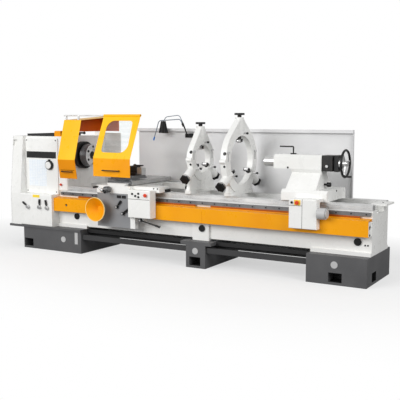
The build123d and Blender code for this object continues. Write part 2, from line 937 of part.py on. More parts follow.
def guard_door():
    line = ((door_fold[0], door_bottom), door_fold, (rail_y, rail_z))
    door = folded(line, sheet, (door_left, door_right), Side.RIGHT)
    opening = door_plane() * window_outline(0)
    door -= extrude(opening, amount=cut_overrun, both=True)
    door += rod_x((door_left, door_right), rail_y, rail_z, sleeve_radius)
    bore_span = (door_left - cut_overrun, door_right + cut_overrun)
    door -= rod_x(bore_span, rail_y, rail_z, rail_radius + running_gap)
    foot = (door_fold[0], door_bottom)
    handle_x = middle((door_left, door_right))
    return door + bow_handle(handle_x, foot, door_fold, door_handle_z, door_handle_half)


def door_window():
    back = door_plane().offset(-sheet)
    return extrude(back * window_outline(pane_lap), amount=-pane_thick)


def saddle():
    body = block((saddle_left, saddle_right), (saddle_front, saddle_back), (way_top + slide_gap, saddle_top))
    for x_span in ((saddle_left - cut_overrun, cross_x - cross_half - saddle_notch),
                   (cross_x + cross_half + saddle_notch, saddle_right + cut_overrun)):
        body -= block(x_span, (-bed_half + way_width, bed_half - way_width),
                      (0, saddle_top + cut_overrun))
    body += block((saddle_left, apron_right), (lip_front, saddle_front), (lip_bottom, saddle_top))
    bridge = ((cross_x - bridge_half, saddle_top), (cross_x - bridge_half - bridge_flare, bridge_top),
              (cross_x + bridge_half + bridge_flare, bridge_top), (cross_x + bridge_half, saddle_top))
    body += profile_y(bridge, (lip_front, saddle_back))
    for y in (-bed_half, bed_half - way_width):
        body += block((saddle_right, saddle_right + wiper_length), (y, y + way_width),
                      (way_top + slide_gap, way_top + wiper_height))
    hole_span = (lip_front - cut_overrun, saddle_front)
    return body - rod_y(crank_x, hole_span, crank_z, crank_shaft_radius + running_gap)


def apron():
    body = block((saddle_left, apron_right), (lip_front, saddle_front), (apron_bottom, lip_bottom))
    body = fillet(body.faces().sort_by(Axis.Y)[0].edges().filter_by(Axis.Z).group_by(Axis.X)[0], apron_edge)
    body += rod_y(wheel_x, (lip_front - apron_boss_depth, lip_front), wheel_z, apron_boss_radius)
    for x_span in plate_pair_x:
        body += block(x_span, (lip_front - plate_pair_depth, lip_front), plate_pair_z)
    depth = lip_front + apron_lever_depth
    for spot in (nut_lever, feed_lever):
        body -= rod_y(spot[0], (lip_front - cut_overrun, depth), spot[1], lever_arm_radius + running_gap)
    return body - rod_y(wheel_x, (lip_front - apron_boss_depth - cut_overrun, depth), wheel_z,
                        crank_shaft_radius + running_gap)


def control_box():
    body = block((cbox_left, cbox_right), (cbox_front, saddle_front), (cbox_bottom, cbox_top))
    body = fillet(body.faces().sort_by(Axis.Y)[0].edges(), cbox_edge)
    groove_y = (cbox_front - cut_overrun, cbox_front + cbox_groove)
    body -= block((cbox_left - cut_overrun, cbox_right - cbox_edge), groove_y,
                  (cbox_split, cbox_split + cbox_groove))
    body += block((cbox_left, leg_right), (lip_front, saddle_front), (apron_bottom, cbox_bottom))
    body += block(switch_lug, (lip_front, saddle_front), (switch_lug_bottom, cbox_bottom))
    for spot in button_spots:
        body += rod_y(spot[0], (cbox_front - button_depth, cbox_front), spot[1], button_radius)
    body -= rod_y(switch_hub_x, (lip_front - cut_overrun, lip_front + apron_lever_depth), switch_hub_z,
                  lever_arm_radius + running_gap)
    return body - stop_hole(estop_x, cbox_front, estop_z, estop_radius)


def apron_handwheel():
    front = wheel_front
    back = lip_front - apron_boss_depth - running_gap
    floor = back - 2 * wheel_wall
    bowl = ((0, back), (wheel_hub_radius, back), (wheel_radius, front + wheel_rim), (wheel_radius, front),
            (wheel_radius - wheel_wall, front), (wheel_hub_radius, floor), (0, floor))
    outline = make_face(Polyline(*bowl, close=True))
    wheel = revolve(outline, Axis.Y)
    wheel += rod((0, back, 0), (0, lip_front + apron_lever_depth, 0), crank_shaft_radius)
    return Pos(wheel_x, 0, wheel_z) * wheel


def apron_lever(spot, angle):
    return hand_lever(spot, angle, lip_front, apron_lever_hub, apron_lever_depth, apron_lever_reach,
                      apron_lever_depth)


def switch_lever():
    spot = (switch_hub_x, switch_hub_z)
    return hand_lever(spot, switch_angle, lip_front, switch_hub_radius, apron_lever_depth, switch_reach,
                      apron_lever_depth)


def cross_slide():
    x_span = (cross_x - cross_half, cross_x + cross_half)
    body = block(x_span, (cross_front, cross_back), (cross_bottom, cross_top))
    rise = bridge_top - cross_bottom
    flare = bridge_flare * rise / (bridge_top - saddle_top)
    low = bridge_half + bridge_flare - flare + running_gap
    high = bridge_half + bridge_flare + running_gap
    groove = ((cross_x - low, cross_bottom - slide_gap), (cross_x - high, bridge_top + slide_gap),
              (cross_x + high, bridge_top + slide_gap), (cross_x + low, cross_bottom - slide_gap))
    body -= profile_y(groove, (cross_front - cut_overrun, cross_back + cut_overrun))
    for offset_x in slot_offsets:
        x = cross_x + offset_x
        body -= block((x - slot_width / 2, x + slot_width / 2), (slot_front, cross_back + cut_overrun),
                      (cross_top - slot_depth, cross_top + cut_overrun))
    return body


def crossfeed_crank():
    crank = rod_y(crank_x, (crank_hub_front, saddle_front - cut_overrun), crank_z, crank_shaft_radius)
    dial_span = (crank_dial_front, crank_dial_front + crank_dial_length)
    crank += rod_y(crank_x, dial_span, crank_z, crank_dial_radius)
    far = turned(crank_x, crank_z, crank_angle, crank_reach)
    near = turned(crank_x, crank_z, crank_angle, -crank_reach / 2)
    y = crank_hub_front + crank_ball_radius
    crank += rod((near[0], y, near[1]), (far[0], y, far[1]), crank_arm_radius)
    crank += Pos(near[0], y, near[1]) * Sphere(crank_ball_radius)
    crank += Pos(crank_x, y, crank_z) * Sphere(crank_ball_radius + wheel_wall)
    return crank + rod_y(far[0], (y - crank_grip_length, y + crank_grip_radius), far[1], crank_grip_radius)


def compound():
    base = cross_top + slide_gap
    body = rod((swivel_x, swivel_y, base), (swivel_x, swivel_y, base + swivel_height), swivel_radius)
    z = base + swivel_height
    return body + block((swivel_x - compound_half, swivel_x + compound_half),
                        (swivel_y - compound_reach, swivel_y + compound_reach), (z, z + compound_height))


def top_slide():
    z = cross_top + swivel_height + compound_height + 2 * slide_gap
    return block((swivel_x - top_slide_half, post_x + post_half),
                 (swivel_y - top_slide_reach, swivel_y + top_slide_reach), (z, z + top_slide_height))


def tool_holder(z):
    # Tool holder on the right side of the post, with its height nut
    x = post_x + post_half
    top = z + holder_base + holder_height
    body = block((x, x + holder_width), (post_y - holder_half, post_y + holder_half), (z + holder_base, top))
    nut_x = x + holder_width / 2
    return body + rod((nut_x, post_y, top), (nut_x, post_y, top + holder_nut_height), holder_nut_radius)


def tool_post():
    z = cross_top + swivel_height + compound_height + top_slide_height + 3 * slide_gap
    x_span = (post_x - post_half, post_x + post_half)
    body = block(x_span, (post_y - post_half, post_y + post_half), (z, z + post_height))
    body = chamfer(body.edges().filter_by(Axis.Z), post_edge)
    for y in (post_y - post_half - cut_overrun, post_y + post_half - post_slot_depth):
        y_span = (y, y + post_slot_depth + cut_overrun)
        body -= block((x_span[0] - cut_overrun, x_span[1] + cut_overrun), y_span,
                      (z + post_slot, z + 2 * post_slot))
    top = z + post_height
    body += rod((post_x, post_y, top), (post_x, post_y, top + post_stud_height), post_stud_radius)
    body += block((post_x - post_stud_radius, post_x + post_lever_reach),
                  (post_y - post_stud_radius, post_y + post_stud_radius), (top, top + post_lever_thick))
    return body + tool_holder(z)


def boss_axis(size, angle):
    rad = math.radians(angle)
    return lambda reach: (size["x"], reach * math.cos(rad), axis_z + reach * math.sin(rad))


def steady_ring(size):
    # Drop-shaped plate: the hull of the ring and of the upper quill boss
    face = Plane(origin=(size["x"] - steady_half, 0, axis_z), x_dir=(0, 1, 0), z_dir=(1, 0, 0))
    crown = Pos(0, size["boss"] - boss_radius) * Circle(boss_radius)
    outline = make_hull(Circle(size["outer"]).edges() + crown.edges())
    ring = extrude(face * outline, amount=2 * steady_half)
    for angle in quill_angles:
        point = boss_axis(size, angle)
        ring += rod(point(size["inner"]), point(size["boss"]), boss_radius)
    neck = ((-steady_neck, axis_z), (-steady_base_half, way_top + steady_base_height),
            (steady_base_half, way_top + steady_base_height), (steady_neck, axis_z))
    ring += profile_x(neck, (size["x"] - steady_web_half, size["x"] + steady_web_half))
    ring += block((size["x"] - steady_half, size["x"] + steady_half), (-steady_base_half, steady_base_half),
                  (way_top, way_top + steady_base_height))
    ring -= extrude(face.offset(-cut_overrun) * Circle(size["inner"]), amount=2 * (steady_half + cut_overrun))
    for angle in quill_angles:
        point = boss_axis(size, angle)
        ring -= rod(point(size["inner"] / 2), point(size["boss"] + cut_overrun), quill_gap_radius)
    return ring


def steady_cut(size, above):
    reach = size["boss"] + cut_overrun
    z_span = (axis_z, axis_z + reach) if above else (0, axis_z - steady_split_gap)
    return block((size["x"] - reach, size["x"] + reach), (-reach, reach), z_span)


def steady_eye(size, x_span, radius):
    # Hinge knuckle on the operator's side of the split
    return rod_x((size["x"] + x_span[0], size["x"] + x_span[1]), -size["outer"], axis_z, radius)


def steady_lock(size, angle):
    rad = math.radians(angle)
    reach = size["inner"] + steady_lock_inset
    y = reach * math.cos(rad)
    z = axis_z + reach * math.sin(rad)
    end = size["x"] + steady_half + steady_lock_reach
    lever = rod_x((size["x"] + quill_gap_radius, end), y, z, lever_arm_radius)
    return lever + Pos(end, y, z) * Sphere(steady_lock_ball)


def steady_nut(size, sign):
    y = sign * middle((size["inner"], size["outer"]))
    x = size["x"] + steady_half
    stud = rod((x, y, axis_z), (x, y, axis_z + steady_nut_z), lever_arm_radius)
    top = axis_z + steady_nut_z
    return stud + rod((x, y, top), (x, y, top + steady_nut_height), steady_nut_radius)


def steady_base(size):
    lower = steady_ring(size) & steady_cut(size, False)
    inner = (-steady_eye_half - steady_eye_gap, steady_eye_half + steady_eye_gap)
    outer = (-steady_half, steady_half)
    lower += steady_eye(size, outer, steady_eye_radius)
    lower -= steady_eye(size, inner, steady_eye_radius + steady_eye_gap)
    lower += steady_eye(size, outer, steady_pin_radius)
    return lower + steady_lock(size, quill_angles[1]) + steady_lock(size, quill_angles[2])


def steady_top(size):
    upper = steady_ring(size) & steady_cut(size, True)
    upper += steady_nut(size, -1) + steady_nut(size, 1)
    reach = steady_half + cut_overrun
    upper -= steady_eye(size, (-reach, reach), steady_eye_radius + steady_eye_gap)
    knuckle = steady_eye(size, (-steady_eye_half, steady_eye_half), steady_eye_radius)
    arm_half = steady_eye_half
    arm = block((size["x"] - arm_half, size["x"] + arm_half), (-size["outer"], -size["outer"] + boss_radius),
                (axis_z, axis_z + steady_eye_radius))
    upper += (knuckle + arm) - steady_eye(size, (-reach, reach), steady_pin_radius + running_gap)
    return upper + steady_lock(size, quill_angles[0])


def star_knob(start, end):
    # Lobed hand knob from start to end along its axis
    axis = Vector(*end) - Vector(*start)
    plane = Plane(origin=start, x_dir=axis.cross(Vector(*knob_side)), z_dir=axis)
    knob = plane * Circle(knob_radius - knob_lobe_radius / 2)
    for place in PolarLocations(knob_radius - knob_lobe_radius, knob_lobe_count):
        knob += plane * place * Circle(knob_lobe_radius)
    return extrude(knob, amount=axis.length)


def roller_fork(size, point, root):
    # Roller on an axle along the bed, held between the cheeks of a fork at the quill's inner end
    axle = point(size["tip"] + roller_radius)
    plane = Plane(origin=point(root), x_dir=(1, 0, 0), z_dir=Vector(*point(1)) - Vector(*point(0)))
    reach = roller_half + roller_gap + fork_wall
    fork = extrude(plane * Rectangle(2 * reach, fork_depth), amount=fork_root)
    for side in (-1, 1):
        cheek = Pos(side * (reach - fork_wall / 2), 0) * Rectangle(fork_wall, fork_depth)
        fork += extrude(plane * cheek, amount=-(root - size["tip"] - roller_radius / 2))
    fork += rod_x((size["x"] - reach, size["x"] + reach), axle[1], axle[2], roller_radius / 2)
    return fork + rod_x((size["x"] - roller_half, size["x"] + roller_half), axle[1], axle[2], roller_radius)


def steady_quill(size, angle):
    point = boss_axis(size, angle)
    root = size["tip"] + 2 * roller_radius + roller_gap
    quill = rod(point(root), point(size["boss"] + knob_stand), quill_radius)
    quill += roller_fork(size, point, root)
    return quill + star_knob(point(size["boss"] + knob_stand), point(size["boss"] + knob_stand + knob_thick))


def tailstock_base():
    plate = block((tail_base_left, tail_base_right), (tail_base_front, tail_base_back),
                  (way_top + slide_gap, tail_plate_top))
    plate = chamfer(plate.faces().sort_by(Axis.Z)[-1].edges().filter_by(Axis.X), tail_edge)
    drive_arm = block((tbox_left, tbox_right), (tbox_back, tail_base_front + tail_edge),
                      (tbox_top - drive_arm_thick, tbox_top))
    return plate + drive_arm


def tailstock_body():
    x_span = (tail_left, tail_right)
    outline = ((-tail_half, tail_nose_bottom), (-tail_half, axis_z + tail_crown - tail_edge),
               (-tail_half + tail_edge, axis_z + tail_crown), (tail_half - tail_edge, axis_z + tail_crown),
               (tail_half, axis_z + tail_crown - tail_edge), (tail_half, tail_nose_bottom),
               (tail_half - tail_edge, tail_body_bottom), (-tail_half + tail_edge, tail_body_bottom))
    barrel = profile_x(outline, x_span)
    foot_x = (tail_left + tail_nose_length, tail_right)
    low = Plane.XY.offset(tail_plate_top + slide_gap)
    high = Plane.XY.offset(tail_body_bottom + tail_edge)
    centre = middle(foot_x)
    length = foot_x[1] - foot_x[0]
    depth = (tail_base_back - tail_base_front) * tail_foot_shares[0]
    wide = low * Pos(centre, 0) * Rectangle(length, depth)
    neck = 2 * tail_half * tail_foot_shares[1]
    narrow = high * Pos(centre, 0) * Rectangle(length * tail_neck_share, neck)
    body = barrel + loft([wide, narrow])
    reach = tail_half + cut_overrun
    body -= block((tail_left - cut_overrun, tail_left + tail_nose_length), (-reach, reach),
                  (tail_body_bottom - cut_overrun, axis_z - tail_quill_radius - tail_edge / 2))
    body -= spindle_hole((tail_left - cut_overrun, tail_right + cut_overrun), tail_quill_radius + running_gap)
    body += offset_knob()
    top = axis_z + tail_crown
    return body - rod((clamp_x, 0, top - clamp_seat_height - running_gap), (clamp_x, 0, top + cut_overrun),
                      clamp_radius / 2 + running_gap)


def offset_knob():
    # Clamp knob on the right face of the tailstock's foot
    stem_end = tail_right + star_stand
    stem = rod_x((tail_right - tail_edge, stem_end), 0, star_z, star_stem_radius)
    return stem + rod_x((stem_end, stem_end + star_length), 0, star_z, star_radius)


def tailstock_quill():
    quill = spindle_hole((quill_tip, tail_quill_back), tail_quill_radius)
    quill = chamfer(quill.faces().sort_by(Axis.X)[0].edges(), panel_edge)
    socket_span = (quill_tip - cut_overrun, quill_tip + tail_quill_socket_depth)
    screw_span = (tail_quill_back - tail_screw_depth, tail_quill_back + cut_overrun)
    quill -= spindle_hole(screw_span, tail_screw_radius + running_gap)
    return quill - spindle_hole(socket_span, tail_quill_socket)


def tailstock_housing():
    step_x = housing_split + housing_joint
    first = block((tail_right, housing_split), (-housing_half, housing_half),
                  (axis_z - housing_half, axis_z + housing_half))
    tall = housing_step_half + housing_step
    step = block((step_x, housing_right), (-housing_step_half, housing_step_half),
                 (axis_z - tall, axis_z + tall))
    knob = rod_y(middle((tail_right, housing_split)), (-housing_half - housing_step / 2, -housing_half),
                 axis_z - housing_step, housing_step / 2)
    knob += spindle_hole((housing_split, step_x), housing_step_half)
    bore_span = (tail_right - cut_overrun, housing_right + cut_overrun)
    return first + step + knob - spindle_hole(bore_span, tail_screw_radius + running_gap)


def tail_handwheel():
    rim_radius = tail_wheel_radius - tail_rim_radius
    section = Pos(tail_wheel_x, rim_radius) * RegularPolygon(tail_rim_radius, tail_rim_sides)
    wheel = Pos(0, 0, axis_z) * revolve(section, Axis.X)
    wheel += spindle_hole((tail_wheel_x - tail_hub_radius, tail_wheel_x + tail_hub_radius), tail_hub_radius)
    for index in range(tail_spoke_count):
        angle = math.radians(360 * index / tail_spoke_count + tail_grip_angle)
        end = (tail_wheel_x, rim_radius * math.cos(angle), axis_z + rim_radius * math.sin(angle))
        wheel += rod((tail_wheel_x, 0, axis_z), end, tail_spoke_radius)
    grip = math.radians(tail_grip_angle)
    grip_y = rim_radius * math.cos(grip)
    grip_z = axis_z + rim_radius * math.sin(grip)
    wheel += rod_x((tail_wheel_x, tail_wheel_x + tail_grip_length), grip_y, grip_z, tail_grip_radius)
    wheel += spindle_hole((housing_right + running_gap, housing_right + tail_dial_length), tail_dial_radius)
    return wheel + spindle_hole((tail_screw_tip, tail_wheel_x), tail_screw_radius)


def quill_clamp():
    base = axis_z + tail_crown
    seat = rod((clamp_x, 0, base + slide_gap), (clamp_x, 0, base + clamp_seat_height), clamp_seat)
    stem_top = (clamp_x, 0, base + clamp_seat_height)
    stem = rod((clamp_x, 0, base - clamp_seat_height), stem_top, clamp_radius / 2)
    path = FilletPolyline((clamp_x, 0, base + clamp_seat_height / 2), (clamp_x, 0, base + clamp_height),
                          (clamp_x - clamp_reach, 0, base + clamp_height), radius=clamp_seat_height)
    return seat + stem + sweep(Plane(origin=path @ 0, z_dir=path % 0) * Circle(clamp_bar), path=path)


def tail_box():
    body = block((tbox_left, tbox_right), (tbox_front, tbox_back), (tbox_bottom, tbox_top))
    body = fillet(body.faces().sort_by(Axis.Y)[0].edges(), cbox_edge)
    groove_y = (tbox_front - cut_overrun, tbox_front + tbox_groove)
    body -= block((tbox_middle, tbox_middle + tbox_groove), groove_y,
                  (tbox_bottom - cut_overrun, tbox_top + cut_overrun))
    body -= block((tbox_left - cut_overrun, tbox_middle), groove_y, (tbox_split, tbox_split + tbox_groove))
    body += rod_x((tbox_right, motor_right - motor_step), motor_y, motor_z, motor_radius)
    body += rod_x((motor_right - motor_step, motor_right), motor_y, motor_z, motor_radius - motor_step)
    body += rod_y(tbutton_x, (tbox_front - button_depth, tbox_front), tbutton_z, button_radius)
    return body - stop_hole(testop_x, tbox_front, testop_z, estop_radius)


def bent_tube(points, radius, bend):
    path = FilletPolyline(*points, radius=bend)
    return sweep(Plane(origin=path @ 0, z_dir=path % 0) * Circle(radius), path=path)


def pipe_route():
    return (Vector(pipe_start_x, pipe_y, pipe_start_z), Vector(pipe_peak_x, pipe_y, pipe_peak_z),
            Vector(pipe_far_x, pipe_y, pipe_far_z), Vector(pipe_end_x, pipe_y, pipe_end_z))


def ferrule_ends():
    # Ends of the ferrule that carries the coolant pipe on the lamp's rod
    start, peak = pipe_route()[:2]
    return start, start + (peak - start) * ferrule_share


def lamp():
    foot = (lamp_foot_x, lamp_y, lamp_foot_z)
    top = (lamp_top_x, lamp_y, lamp_top_z)
    body = rod(foot, top, lamp_rod_radius)
    body += block((lamp_foot_x - lamp_clamp, lamp_foot_x + lamp_clamp), (lamp_y - lamp_clamp / 2, splash_y),
                  (lamp_foot_z - lamp_clamp, lamp_foot_z + lamp_clamp))
    arm = (top, (lamp_peak_x, lamp_y, lamp_peak_z), (lamp_far_x, lamp_y, lamp_far_z),
           (lamp_head_x, lamp_y, lamp_head_top - lamp_arm_root))
    body += bent_tube(arm, lamp_arm_radius, lamp_arm_bend)
    height = lamp_head_top - lamp_head_bottom
    head = Cone(lamp_head_large, lamp_head_small, height, align=(Align.CENTER, Align.CENTER, Align.MIN))
    body += Pos(lamp_head_x, lamp_y, lamp_head_bottom) * head
    low, high = ferrule_ends()
    return body + rod(low, high, ferrule_radius) - rod(low, high, pipe_radius)


def coolant_pipe():
    route = pipe_route()
    run = (route[-1] - route[-2]).normalized()
    nozzle = rod(route[-1] - run * nozzle_length, route[-1], nozzle_radius)
    return bent_tube(route, pipe_radius, pipe_bend) + nozzle


def treadle(x_span):
    low = (x_span[0] + brake_end_gap, x_span[1] - brake_end_gap)
    z_span = (brake_z - brake_height / 2, brake_z + brake_height / 2)
    bar = block(low, (brake_y - brake_depth, brake_y), z_span)
    inside = brake_y - brake_depth + brake_wall
    bar -= block((low[0] - cut_overrun, low[1] + cut_overrun), (inside, brake_y + cut_overrun),
                 (z_span[0] + brake_wall, z_span[1] - brake_wall))
    for x in (low[0], low[1] - brake_arm_width):
        bar += block((x, x + brake_arm_width), (inside, brake_pivot_y + brake_pin_radius),
                     (brake_pivot_z - brake_arm_height / 2, brake_pivot_z + brake_arm_height / 2))
    return bar


def foot_brake():
    bars = treadle((left_span[1], middle_span[0])) + treadle((middle_span[1], right_span[0]))
    pin_span = (left_span[1] - pocket_depth / 2, right_span[0] + pocket_depth / 2)
    return bars + rod_x(pin_span, brake_pivot_y, brake_pivot_z, brake_pin_radius)


def stop_buttons():
    head_face = head_front - panel_edge
    return dict(
        head_stop_button=stop_button(stop_button_x, head_face, stop_button_z, stop_radius, stop_depth),
        carriage_estop=stop_button(estop_x, cbox_front, estop_z, estop_radius, estop_depth),
        tail_estop=stop_button(testop_x, tbox_front, testop_z, estop_radius, estop_depth))


def gearbox_levers():
    levers = {}
    for index, (spot, angle) in enumerate(zip(lever_hubs, lever_angles)):
        levers[f"gearbox_lever_{index + 1}"] = hand_lever(spot, angle, end_front, lever_hub_radius,
                                                          lever_hub_depth, lever_reach, lever_hub_depth)
    return levers


def steady_rests():
    rests = {}
    for name, size in (("small_steady", small_steady), ("large_steady", large_steady)):
        rests[f"{name}_base"] = steady_base(size)
        rests[f"{name}_top"] = steady_top(size)
        for index, angle in enumerate(quill_angles):
            rests[f"{name}_quill_{index + 1}"] = steady_quill(size, angle)
    return rests


def parts():
    nodes = dict(
        pedestals=pedestals(), base_and_trays=base_plate() + chip_trays(), bed=bed(), bed_ways=bed_ways(),
        bed_plugs=bed_plugs(), rack=rack(), leadscrew_cover=leadscrew_cover(), leadscrew=leadscrew(),
        splash_guard=splash_guard(), headstock=headstock(), end_cover=end_cover(),
        control_panel=control_panel(), feed_gearbox=feed_gearbox(), headstock_mat=headstock_mat(),
        bearing_cover=bearing_cover(),
        spindle=spindle(), speed_dial=speed_dial(), chuck_guard=chuck_guard(), guard_rest=guard_rest(),
        guard_door=guard_door(), door_window=door_window(), saddle=saddle(), apron=apron(),
        control_box=control_box(), apron_handwheel=apron_handwheel(),
        half_nut_lever=apron_lever(nut_lever, nut_lever_angle),
        feed_lever=apron_lever(feed_lever, feed_lever_angle), switch_lever=switch_lever(),
        cross_slide=cross_slide(), crossfeed_crank=crossfeed_crank(), compound=compound(),
        top_slide=top_slide(), tool_post=tool_post(), tailstock_base=tailstock_base(),
        tailstock_body=tailstock_body(), tailstock_quill=tailstock_quill(),
        tailstock_housing=tailstock_housing(), tail_handwheel=tail_handwheel(),
        quill_clamp=quill_clamp(), tail_box=tail_box(), lamp=lamp(), coolant_pipe=coolant_pipe(),
        foot_brake=foot_brake())
    nodes.update(stop_buttons())
    nodes.update(gearbox_levers())
    nodes.update(steady_rests())
    return nodes


os.makedirs("parts", exist_ok=True)
for node_name, solid in parts().items():
    export_step(solid, f"parts/{node_name}.step")
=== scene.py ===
import math

import bpy
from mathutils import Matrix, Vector


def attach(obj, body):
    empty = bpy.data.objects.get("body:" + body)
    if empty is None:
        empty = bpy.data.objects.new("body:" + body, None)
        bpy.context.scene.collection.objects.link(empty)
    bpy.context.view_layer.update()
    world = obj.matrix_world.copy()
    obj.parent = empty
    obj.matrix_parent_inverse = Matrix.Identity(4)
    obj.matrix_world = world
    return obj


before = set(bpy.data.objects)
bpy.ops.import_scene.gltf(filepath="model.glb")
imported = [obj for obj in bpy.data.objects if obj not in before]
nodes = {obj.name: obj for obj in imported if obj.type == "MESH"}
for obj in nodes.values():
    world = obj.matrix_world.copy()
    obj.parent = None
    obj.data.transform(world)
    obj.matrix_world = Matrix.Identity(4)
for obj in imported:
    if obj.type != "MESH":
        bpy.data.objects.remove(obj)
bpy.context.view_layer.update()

# Directions, and the two axes that lie across a turned piece
right = (1.0, 0.0, 0.0)
left = (-1.0, 0.0, 0.0)
front = (0.0, -1.0, 0.0)
up = (0.0, 0.0, 1.0)
down = (0.0, 0.0, -1.0)
across_x = (0.0, 1.0, 1.0)
across_y = (1.0, 0.0, 1.0)

# Places of the CAD model that the finishes and the added pieces use, in metres
skin = 0.0005  # a mask starts this far off the face that it leaves alone
axis_z = 1.25
panel_face = -0.318
gearbox_face = -0.43
carriage_face = -0.52
tail_face = -0.485
pedestal_face = -0.43
badge_back = -0.4301
bed_face = -0.28
saddle_face = -0.4
saddle_right = -0.52
barrel_face = -0.104
# The base's trays right of here are painted black as painted shade
cover_end = 2.032
tray_start = -1.7149
rack_bolt_back = -0.3022
cross_slide_front = -0.3985
housing_knob_back = -0.0865
dial_face = -0.3523
guard_rest_face = -2.15
motor_start = 1.505
crank_grip_start = -1.2675
nozzle_top = 1.494
tail_base_end = 1.545
shelf_top = 0.85

# Spindle nose
nose_face = -1.84
nose_recess = 0.08
nose_recess_depth = 0.014
spindle_bore = 0.052
nose_circle = 0.112
nose_bolts = [math.radians(30 + 60 * step) for step in range(6)]

# Guard: the outer line of its folded sheet in (y, z), from the front's bottom to the rear's
guard_line = ((-0.447, 0.969), (-0.49, 1.212), (-0.345, 1.715), (0.455, 1.765), (0.455, 1.56))
# Level above which the guard's upper faces carry a painted highlight, a lighter yellow
guard_fold = guard_line[1][1]
guard_left = -2.028
half_sheet = 0.002
# Level above which the door's upper faces carry a painted highlight, a lighter yellow
door_fold = 1.252

# Wheels and levers: a point on the axis, and the radius past which another finish starts
spindle_axis = (0.0, 0.0, axis_z)
wheel_axis = (-1.335, 0.0, 0.622)
wheel_edge = 0.143
tail_wheel_axis = (1.64, 0.0, axis_z)
tail_wheel_edge = 0.128
gear_hub = 0.0265
apron_hub = 0.013
lever_hubs = {"gearbox_lever_1": ((-2.611, 0.0, 0.561), gear_hub),
              "gearbox_lever_2": ((-2.405, 0.0, 0.566), gear_hub),
              "gearbox_lever_3": ((-2.273, 0.0, 0.563), gear_hub),
              "half_nut_lever": ((-1.092, 0.0, 0.655), apron_hub),
              "feed_lever": ((-1.002, 0.0, 0.58), apron_hub),
              "switch_lever": ((-0.74, 0.0, 0.515), apron_hub)}

# Steady rests: place along the bed, ring radii, and reach of the bosses and of the roller tips
steady_rests = {"small_steady": dict(x=-0.184, inner=0.172, outer=0.262, boss=0.392, tip=0.112),
                "large_steady": dict(x=0.344, inner=0.285, outer=0.395, boss=0.5, tip=0.205)}
quill_angles = (90.0, 212.0, 328.0)
steady_half = 0.036
knob_start = 0.0255
roller_size = 0.0365
roller_half = 0.0265
stud_half = 0.024
stud_top = 0.115
arm_start = 0.06
ball_start = 0.09

# Boxes round the areas of a node that carry a second finish: lowest and highest corner
# Strips behind the cover's top that carry painted shade
cover_strips = ((-2.3, -0.3065, 0.7085), (2.1, -0.2, 0.74))
pocket_width = 0.15
# Fork pockets of the pedestals, painted black as painted shade
fork_pockets = [((x, -0.429, 0.03), (x + pocket_width, -0.24, 0.13)) for x in (-2.69, -0.085, 1.625)]
end_pocket = ((1.859, -0.251, 0.029), (2.039, -0.099, 0.131))
apron_badges = ((-1.1, -0.49, 0.76), (-0.96, -0.4705, 0.805))
recess_floor = ((nose_face - nose_recess_depth - skin, -nose_recess, axis_z - nose_recess),
                (nose_face - nose_recess_depth + skin, nose_recess, axis_z + nose_recess))
guard_handle = ((-2.0, -0.53, 1.04), (-1.77, -0.4655, 1.08))
guard_rail = ((-2.03, -0.36, 1.7175), (-0.8, -0.33, 1.79))
door_handle = ((-1.25, -0.63, 1.09), (-0.95, -0.5755, 1.125))
control_box_groove = ((-0.9, -0.5195, 0.7675), (-0.58, -0.51, 0.7735))
tail_box_groove_level = ((1.18, -0.4845, 0.8175), (1.34, -0.4795, 0.8235))
tail_box_groove_upright = ((1.3395, -0.4845, 0.57), (1.3455, -0.4795, 0.9))
tail_box_button = ((1.2, -0.5, 0.83), (1.25, -0.4855, 0.88))
offset_knob = ((1.4005, -0.05, 0.95), (1.5, 0.05, 1.07))
crank_dial = ((-1.26, -0.5605, 0.82), (-1.15, -0.4995, 0.92))
crank_ball = ((-1.187, -0.65, 0.82), (-1.14, -0.595, 0.88))
tool_holder = ((-0.9899, -0.2, 1.0), (-0.9, -0.1, 1.145))
lamp_arm = ((-0.99, 0.41, 1.702), (-0.7, 0.44, 1.83))


# Shader building blocks

mix_a, mix_b, mix_out = 6, 7, 2  # the colour sockets of a Mix node
middle = {"From Min": 0.35, "From Max": 0.65}  # the part of a noise's range in which most of it lies


def linear(code):
    """sRGB hex to the linear colour that the sockets take."""
    parts = [int(code[i:i + 2], 16) / 255 for i in (1, 3, 5)]
    return tuple(c / 12.92 if c <= 0.04045 else ((c + 0.055) / 1.055) ** 2.4 for c in parts) + (1.0,)


def per(millimetres):
    """Pattern scale at which the detail is so many millimetres wide."""
    return 1000.0 / millimetres


def add(tree, kind, inputs=None, **settings):
    """Adds a node with its settings, gives each input a value or a link, and returns the outputs."""
    made = tree.nodes.new("ShaderNode" + kind)
    for name, value in settings.items():
        setattr(made, name, value)
    for key, value in (inputs or {}).items():
        if isinstance(value, bpy.types.NodeSocket):
            tree.links.new(made.inputs[key], value)
        else:
            made.inputs[key].default_value = value
    return made.outputs


# Where a finish applies on a node that carries more than one. Object coordinates are the CAD
# frame's metres on every piece.

def inside(low, high):
    """One inside a box, zero outside."""
    def mask(tree):
        centre = [(a + b) / 2 for a, b in zip(low, high)]
        half = [(b - a) / 2 for a, b in zip(low, high)]
        place = add(tree, "TexCoord")["Object"]
        away = add(tree, "VectorMath", {0: place, 1: centre}, operation="SUBTRACT")[0]
        size = add(tree, "VectorMath", {0: away}, operation="ABSOLUTE")[0]
        over = add(tree, "VectorMath", {0: size, 1: half}, operation="SUBTRACT")[0]
        axes = add(tree, "SeparateXYZ", {"Vector": over})
        most = add(tree, "Math", {0: axes[0], 1: axes[1]}, operation="MAXIMUM")[0]
        most = add(tree, "Math", {0: most, 1: axes[2]}, operation="MAXIMUM")[0]
        return add(tree, "Math", {0: most, 1: 0.0}, operation="LESS_THAN")[0]
    return mask


def beyond(normal, offset):
    """One where the place lies further than offset along a direction."""
    def mask(tree):
        place = add(tree, "TexCoord")["Object"]
        reach = add(tree, "VectorMath", {0: place, 1: normal}, operation="DOT_PRODUCT")["Value"]
        return add(tree, "Math", {0: reach, 1: offset}, operation="GREATER_THAN")[0]
    return mask


